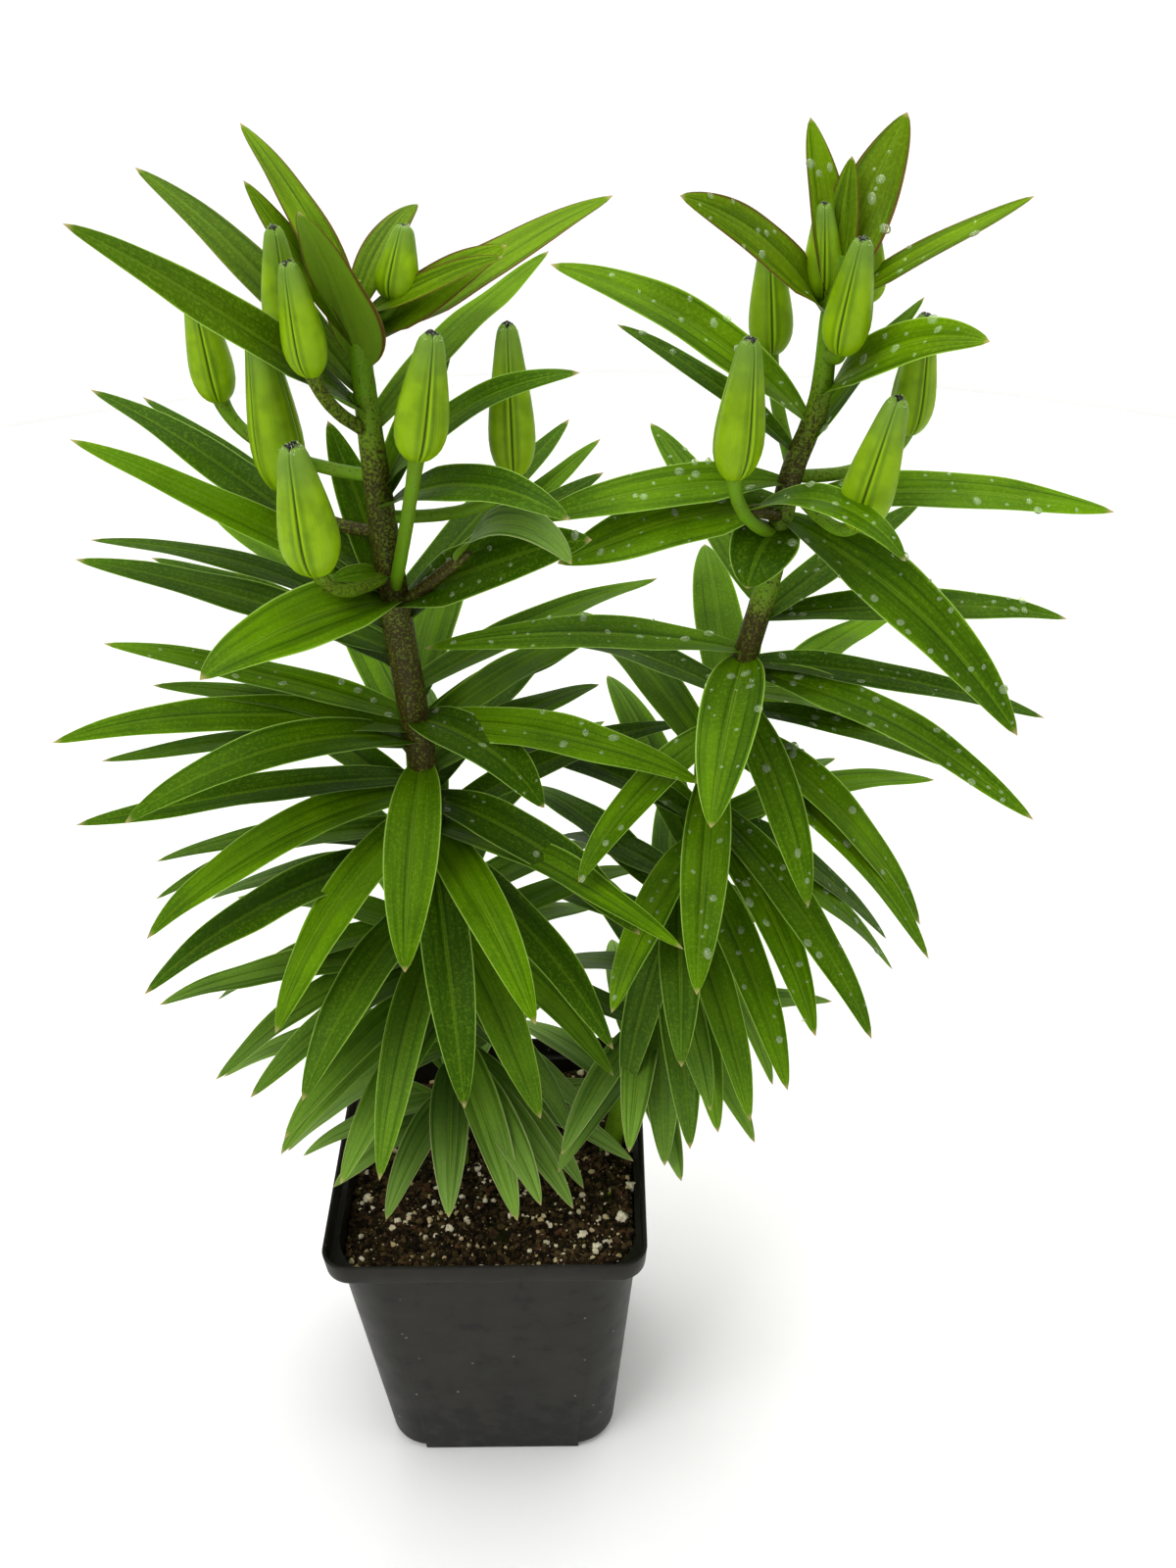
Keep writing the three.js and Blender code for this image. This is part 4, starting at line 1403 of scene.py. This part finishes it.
def without(thing, tool):
    """Cuts one closed object out of another and drops the tool."""
    cut = thing.modifiers.new("cut", "BOOLEAN")
    cut.operation = "DIFFERENCE"
    cut.solver = "EXACT"
    cut.object = tool
    graph = bpy.context.evaluated_depsgraph_get()
    mesh = bpy.data.meshes.new_from_object(thing.evaluated_get(graph), depsgraph=graph)
    thing.modifiers.remove(cut)
    thing.data = mesh
    bpy.data.objects.remove(tool)
    return thing


def nursery_pot():
    """The moulded pot: its outside less its inside, the recess between its feet and the four drain holes."""
    band_foot = POT_HEIGHT - RIM_BAND
    rim = RIM_HALF - RIM_LEAN

    def rounded(half, corner, z, radius, grows, rises):
        """Rings round a moulded edge, from flat to upright or from upright to flat."""
        rings = []
        for k in range(ROUND_STEPS + 1):
            angle = math.radians(90 * k / ROUND_STEPS)
            out = radius * (math.sin(angle) - 1) if grows else radius * (math.cos(angle) - 1)
            up = radius * (1 - math.cos(angle)) if rises else radius * math.sin(angle)
            rings.append(rounded_square(half + out, corner + out, z + up, POT_CORNER_POINTS))
        return rings

    outside = rounded(BODY_FOOT_HALF, FOOT_CORNER, 0, FOOT_ROUND, True, True)
    outside.append(body_ring(band_foot, 0))
    outside += rounded(rim, RIM_CORNER, band_foot + RIM_LEAN, BAND_ROUND, True, True)
    outside += rounded(RIM_HALF, RIM_CORNER, POT_HEIGHT - LIP_ROUND, LIP_ROUND, False, False)
    inside = [
        body_ring(FLOOR, WALL),
        body_ring(band_foot + WALL, WALL),
        rounded_square(rim - WALL, RIM_CORNER - WALL, band_foot + WALL + RIM_LEAN, POT_CORNER_POINTS),
    ]
    for k in range(ROUND_STEPS + 1):
        angle = math.radians(90 * k / ROUND_STEPS)
        out = LIP_ROUND * (1 - math.cos(angle)) - WALL
        up = POT_HEIGHT - LIP_ROUND * (1 - math.sin(angle))
        inside.append(rounded_square(RIM_HALF + out, RIM_CORNER + out, up, POT_CORNER_POINTS))
    mouth = RIM_HALF - WALL + LIP_ROUND
    inside.append(rounded_square(mouth, RIM_CORNER, POT_HEIGHT + BEYOND, POT_CORNER_POINTS))
    pot = linked("pot_outside", lofted(outside))
    hollow = linked("pot_inside", lofted(inside))
    hollow = without(hollow, corner_blocks(FOOT_HALF - WALL, CORNER_STEP + FLOOR))
    pot = without(pot, corner_blocks(FOOT_HALF, CORNER_STEP))
    pot = without(pot, hollow)
    holes = bmesh.new()
    for x in (-DRAIN_AT, DRAIN_AT):
        for y in (-DRAIN_AT, DRAIN_AT):
            bmesh.ops.create_cone(
                holes,
                cap_ends=True,
                segments=DRAIN_SIDES,
                radius1=DRAIN_RADIUS * MM,
                radius2=DRAIN_RADIUS * MM,
                depth=4 * CORNER_STEP * MM,
                matrix=Matrix.Translation(Vector((x, y, CORNER_STEP)) * MM),
            )
    mesh = finished_mesh("holes", holes)
    pot = without(pot, linked("holes", mesh))
    pot.data.materials.clear()
    pot.data.materials.append(finishes["pot"])
    made_smooth(pot, 35)
    placed(pot, "nursery_pot", "pot_plastic", "pot")


def soil_level(x, y):
    """The height of the soil's surface in millimetres: a slope and lumps of a few sizes."""
    level = SOIL_TOP + SOIL_SLOPE * (x - y) / BODY_TOP_HALF
    for size, height in SOIL_LUMPS:
        level += height * noise.noise(Vector((x, y, 0)) / size)
    return level


def soil_rings(count):
    """Rings of the soil's surface from the pot's wall to its middle."""
    outline = body_ring(SOIL_SHOULDER, WALL + SOIL_GAP, SOIL_CORNER_POINTS, SOIL_SIDE_POINTS)
    rings = []
    for k in range(count):
        share = 1 - k / count
        places = [(point.x * share, point.y * share) for point in outline]
        rings.append([Vector((x, y, soil_level(x / MM, y / MM) * MM)) for x, y in places])
    return rings


def potting_soil():
    """The body of soil with its uneven surface, and what lies on it."""
    inset = WALL + SOIL_GAP
    floor = body_ring(CORNER_STEP + FLOOR + SOIL_GAP, inset, SOIL_CORNER_POINTS, SOIL_SIDE_POINTS)
    shoulder = body_ring(SOIL_SHOULDER, inset, SOIL_CORNER_POINTS, SOIL_SIDE_POINTS)
    soil = linked("soil", lofted([floor, shoulder, *soil_rings(SOIL_RINGS)]))
    soil.data.materials.append(finishes["peat"])
    made_smooth(soil, 60)
    covered(soil, lambda vertex, _: float(vertex.normal.z > UPWARD and vertex.co.z > SOIL_SHOULDER * MM))
    for name, (shapes, seed, finish, settings) in SOIL_GRAINS.items():
        grains = scattered(soil, helpers[shapes], {"Seed": seed, "Finish": finishes[finish], **settings}, 40)
        placed(grains, name, "potting_soil")
    placed(soil, "potting_soil", "potting_soil", "soil")


def large_grains():
    """The larger white grains and the feed bead that the photograph shows, each resting in the soil."""
    grains = bmesh.new()
    for index, (x, y, size) in enumerate((*LARGE_PERLITE, FEED_BEAD)):
        is_bead = index == len(LARGE_PERLITE)
        place = Vector((x, y, soil_level(x, y) + LARGE_RAISED * size)) * MM
        offset = Vector((LARGE_OFFSET * index, 0, 0))
        made = bmesh.ops.create_icosphere(grains, subdivisions=3, radius=1)
        for vertex in made["verts"]:
            swell = 1 if is_bead else 1 + PERLITE_UNEVEN * noise.noise(vertex.co * LARGE_LUMPS + offset)
            vertex.co = place + vertex.co * swell * size / 2 * MM
        for face in {face for vertex in made["verts"] for face in vertex.link_faces}:
            face.material_index = int(is_bead)
    mesh = finished_mesh("large_grains", grains)
    give_fact(mesh, "shade", [LARGE_SHADE] * len(mesh.vertices))
    mesh.materials.append(finishes["perlite"])
    mesh.materials.append(finishes["feed"])
    stones = linked("large_grains", mesh)
    made_smooth(stones, 180)
    placed(stones, "large_perlite_and_feed", "potting_soil")


def camera():
    """The camera at the photograph's viewing angle."""
    pitch, yaw, roll = (math.radians(angle) for angle in (CAMERA_PITCH, CAMERA_YAW, CAMERA_ROLL))
    forward = Vector((math.sin(yaw) * math.cos(pitch), math.cos(yaw) * math.cos(pitch), -math.sin(pitch)))
    level = Vector((math.cos(yaw), -math.sin(yaw), 0))
    upward = level.cross(forward)
    across = level * math.cos(roll) + upward * math.sin(roll)
    upward = upward * math.cos(roll) - level * math.sin(roll)
    lens = bpy.data.cameras.new("camera")
    lens.lens = CAMERA_LENS
    lens.clip_start = CAMERA_NEAR * MM
    thing = linked("camera", lens)
    turn = Matrix((across, upward, -forward)).transposed().to_4x4()
    thing.matrix_world = Matrix.Translation(Vector(CAMERA_PLACE) * MM) @ turn
    bpy.context.scene.camera = thing


def light(name, place, aim, size, power):
    """A square lamp at a place, turned towards its aim."""
    lamp = bpy.data.lights.new(name, "AREA")
    lamp.size = size
    lamp.energy = power
    thing = linked(name, lamp)
    turn = (Vector(place) - Vector(aim)).to_track_quat("Z", "Y").to_matrix().to_4x4()
    thing.matrix_world = Matrix.Translation(Vector(place)) @ turn


def studio():
    """A pale floor that curves up all round far outside the view, a pale sky, and soft lamps."""
    bowl = bmesh.new()
    profile = [(FLOOR_RADIUS, 0)]
    for k in range(1, FLOOR_CURVE_STEPS + 1):
        angle = math.radians(90 * k / FLOOR_CURVE_STEPS)
        profile.append((FLOOR_RADIUS + FLOOR_CURVE * math.sin(angle), FLOOR_CURVE * (1 - math.cos(angle))))
    profile.append((FLOOR_RADIUS + FLOOR_CURVE, FLOOR_WALL))
    rings = [
        [
            bowl.verts.new((reach * math.cos(turn), reach * math.sin(turn), height))
            for turn in (2 * math.pi * k / FLOOR_SIDES for k in range(FLOOR_SIDES))
        ]
        for reach, height in profile
    ]
    bowl.faces.new(rings[0])
    for lower, upper in zip(rings, rings[1:]):
        for k in range(FLOOR_SIDES):
            after = (k + 1) % FLOOR_SIDES
            bowl.faces.new((lower[k], lower[after], upper[after], upper[k])).smooth = True
    mesh = finished_mesh("floor", bowl)
    mesh.materials.append(finishes["floor"])
    linked("floor", mesh)
    world = bpy.data.worlds.new("sky")
    world.use_nodes = True
    world.node_tree.nodes["Background"].inputs["Color"].default_value = colour(SKY_PALE)
    world.node_tree.nodes["Background"].inputs["Strength"].default_value = SKY_STRENGTH
    bpy.context.scene.world = world
    bpy.context.scene.view_settings.view_transform = "Standard"
    bpy.context.scene.view_settings.gamma = PICTURE_GAMMA
    for lamp in LAMPS:
        light(*lamp)


trees = {"blade": blade_tree(), "stem": stem_tree(), "bud": bud_tree(), "scatter": scatter_tree()}
finishes = {
    "leaf": leaf_material(),
    "bud": bud_material(),
    "stem": stem_material(),
    "wool": plain_material("white wool of a lily bud", WOOL_WHITE, 0.8),
    "pot": pot_material(),
    "peat": peat_material(),
    "crumb": grain_material("peat crumbs", PEAT_DARK, PEAT_BROWN, 1.2, 0.95),
    "bark": grain_material("composted bark", BARK_DARK, BARK_PALE, 1.5, 0.9),
    "fibre": grain_material("dry peat fibre", FIBRE_DARK, FIBRE_PALE, 2, 0.8),
    "perlite": grain_material("expanded perlite", PERLITE_CREAM, PERLITE_WHITE, 0.8, 0.8),
    "moss": grain_material("moss", MOSS_DARK, MOSS_GREEN, 0.6, 0.9),
    "feed": plain_material("coated feed bead", FEED_BLUE, 0.3),
    "water": water_material(),
    "floor": plain_material("matt white floor", FLOOR_PALE, 0.9),
}
helpers = {
    "section": blade_section(),
    "bud": bud_shape(),
    "drops": shape_set("drop_shapes", 3, DROP_STRETCH, 0.12, 2),
    "hairs": shape_set("hair_shapes", 2, ((1, 0.07, 0.06), (0.8, 0.06, 0.07)), 0.5, 1),
    "chips": shape_set("chip_shapes", 5, CHIP_STRETCH, 0.8, 1),
    "fibres": shape_set("fibre_shapes", 4, ((1, 0.07, 0.05), (1, 0.12, 0.06)), 0.7, 1),
    "grains": shape_set("grain_shapes", 5, ((1, 0.85, 0.7), (0.9, 0.8, 0.8)), 0.7, 1),
}
camera()
nursery_pot()
potting_soil()
large_grains()
plant(
    "left",
    LEFT_AXIS,
    LEFT_LEAVES,
    LEFT_SPIRAL,
    LEFT_BUDS,
    LEFT_BRACTS,
    lambda height: height in LEFT_WET_HEIGHTS,
)
plant(
    "right",
    RIGHT_AXIS,
    RIGHT_LEAVES,
    RIGHT_SPIRAL,
    RIGHT_BUDS,
    RIGHT_BRACTS,
    lambda height: height > RIGHT_WET_ABOVE,
)
dropped(helpers.values())
studio()
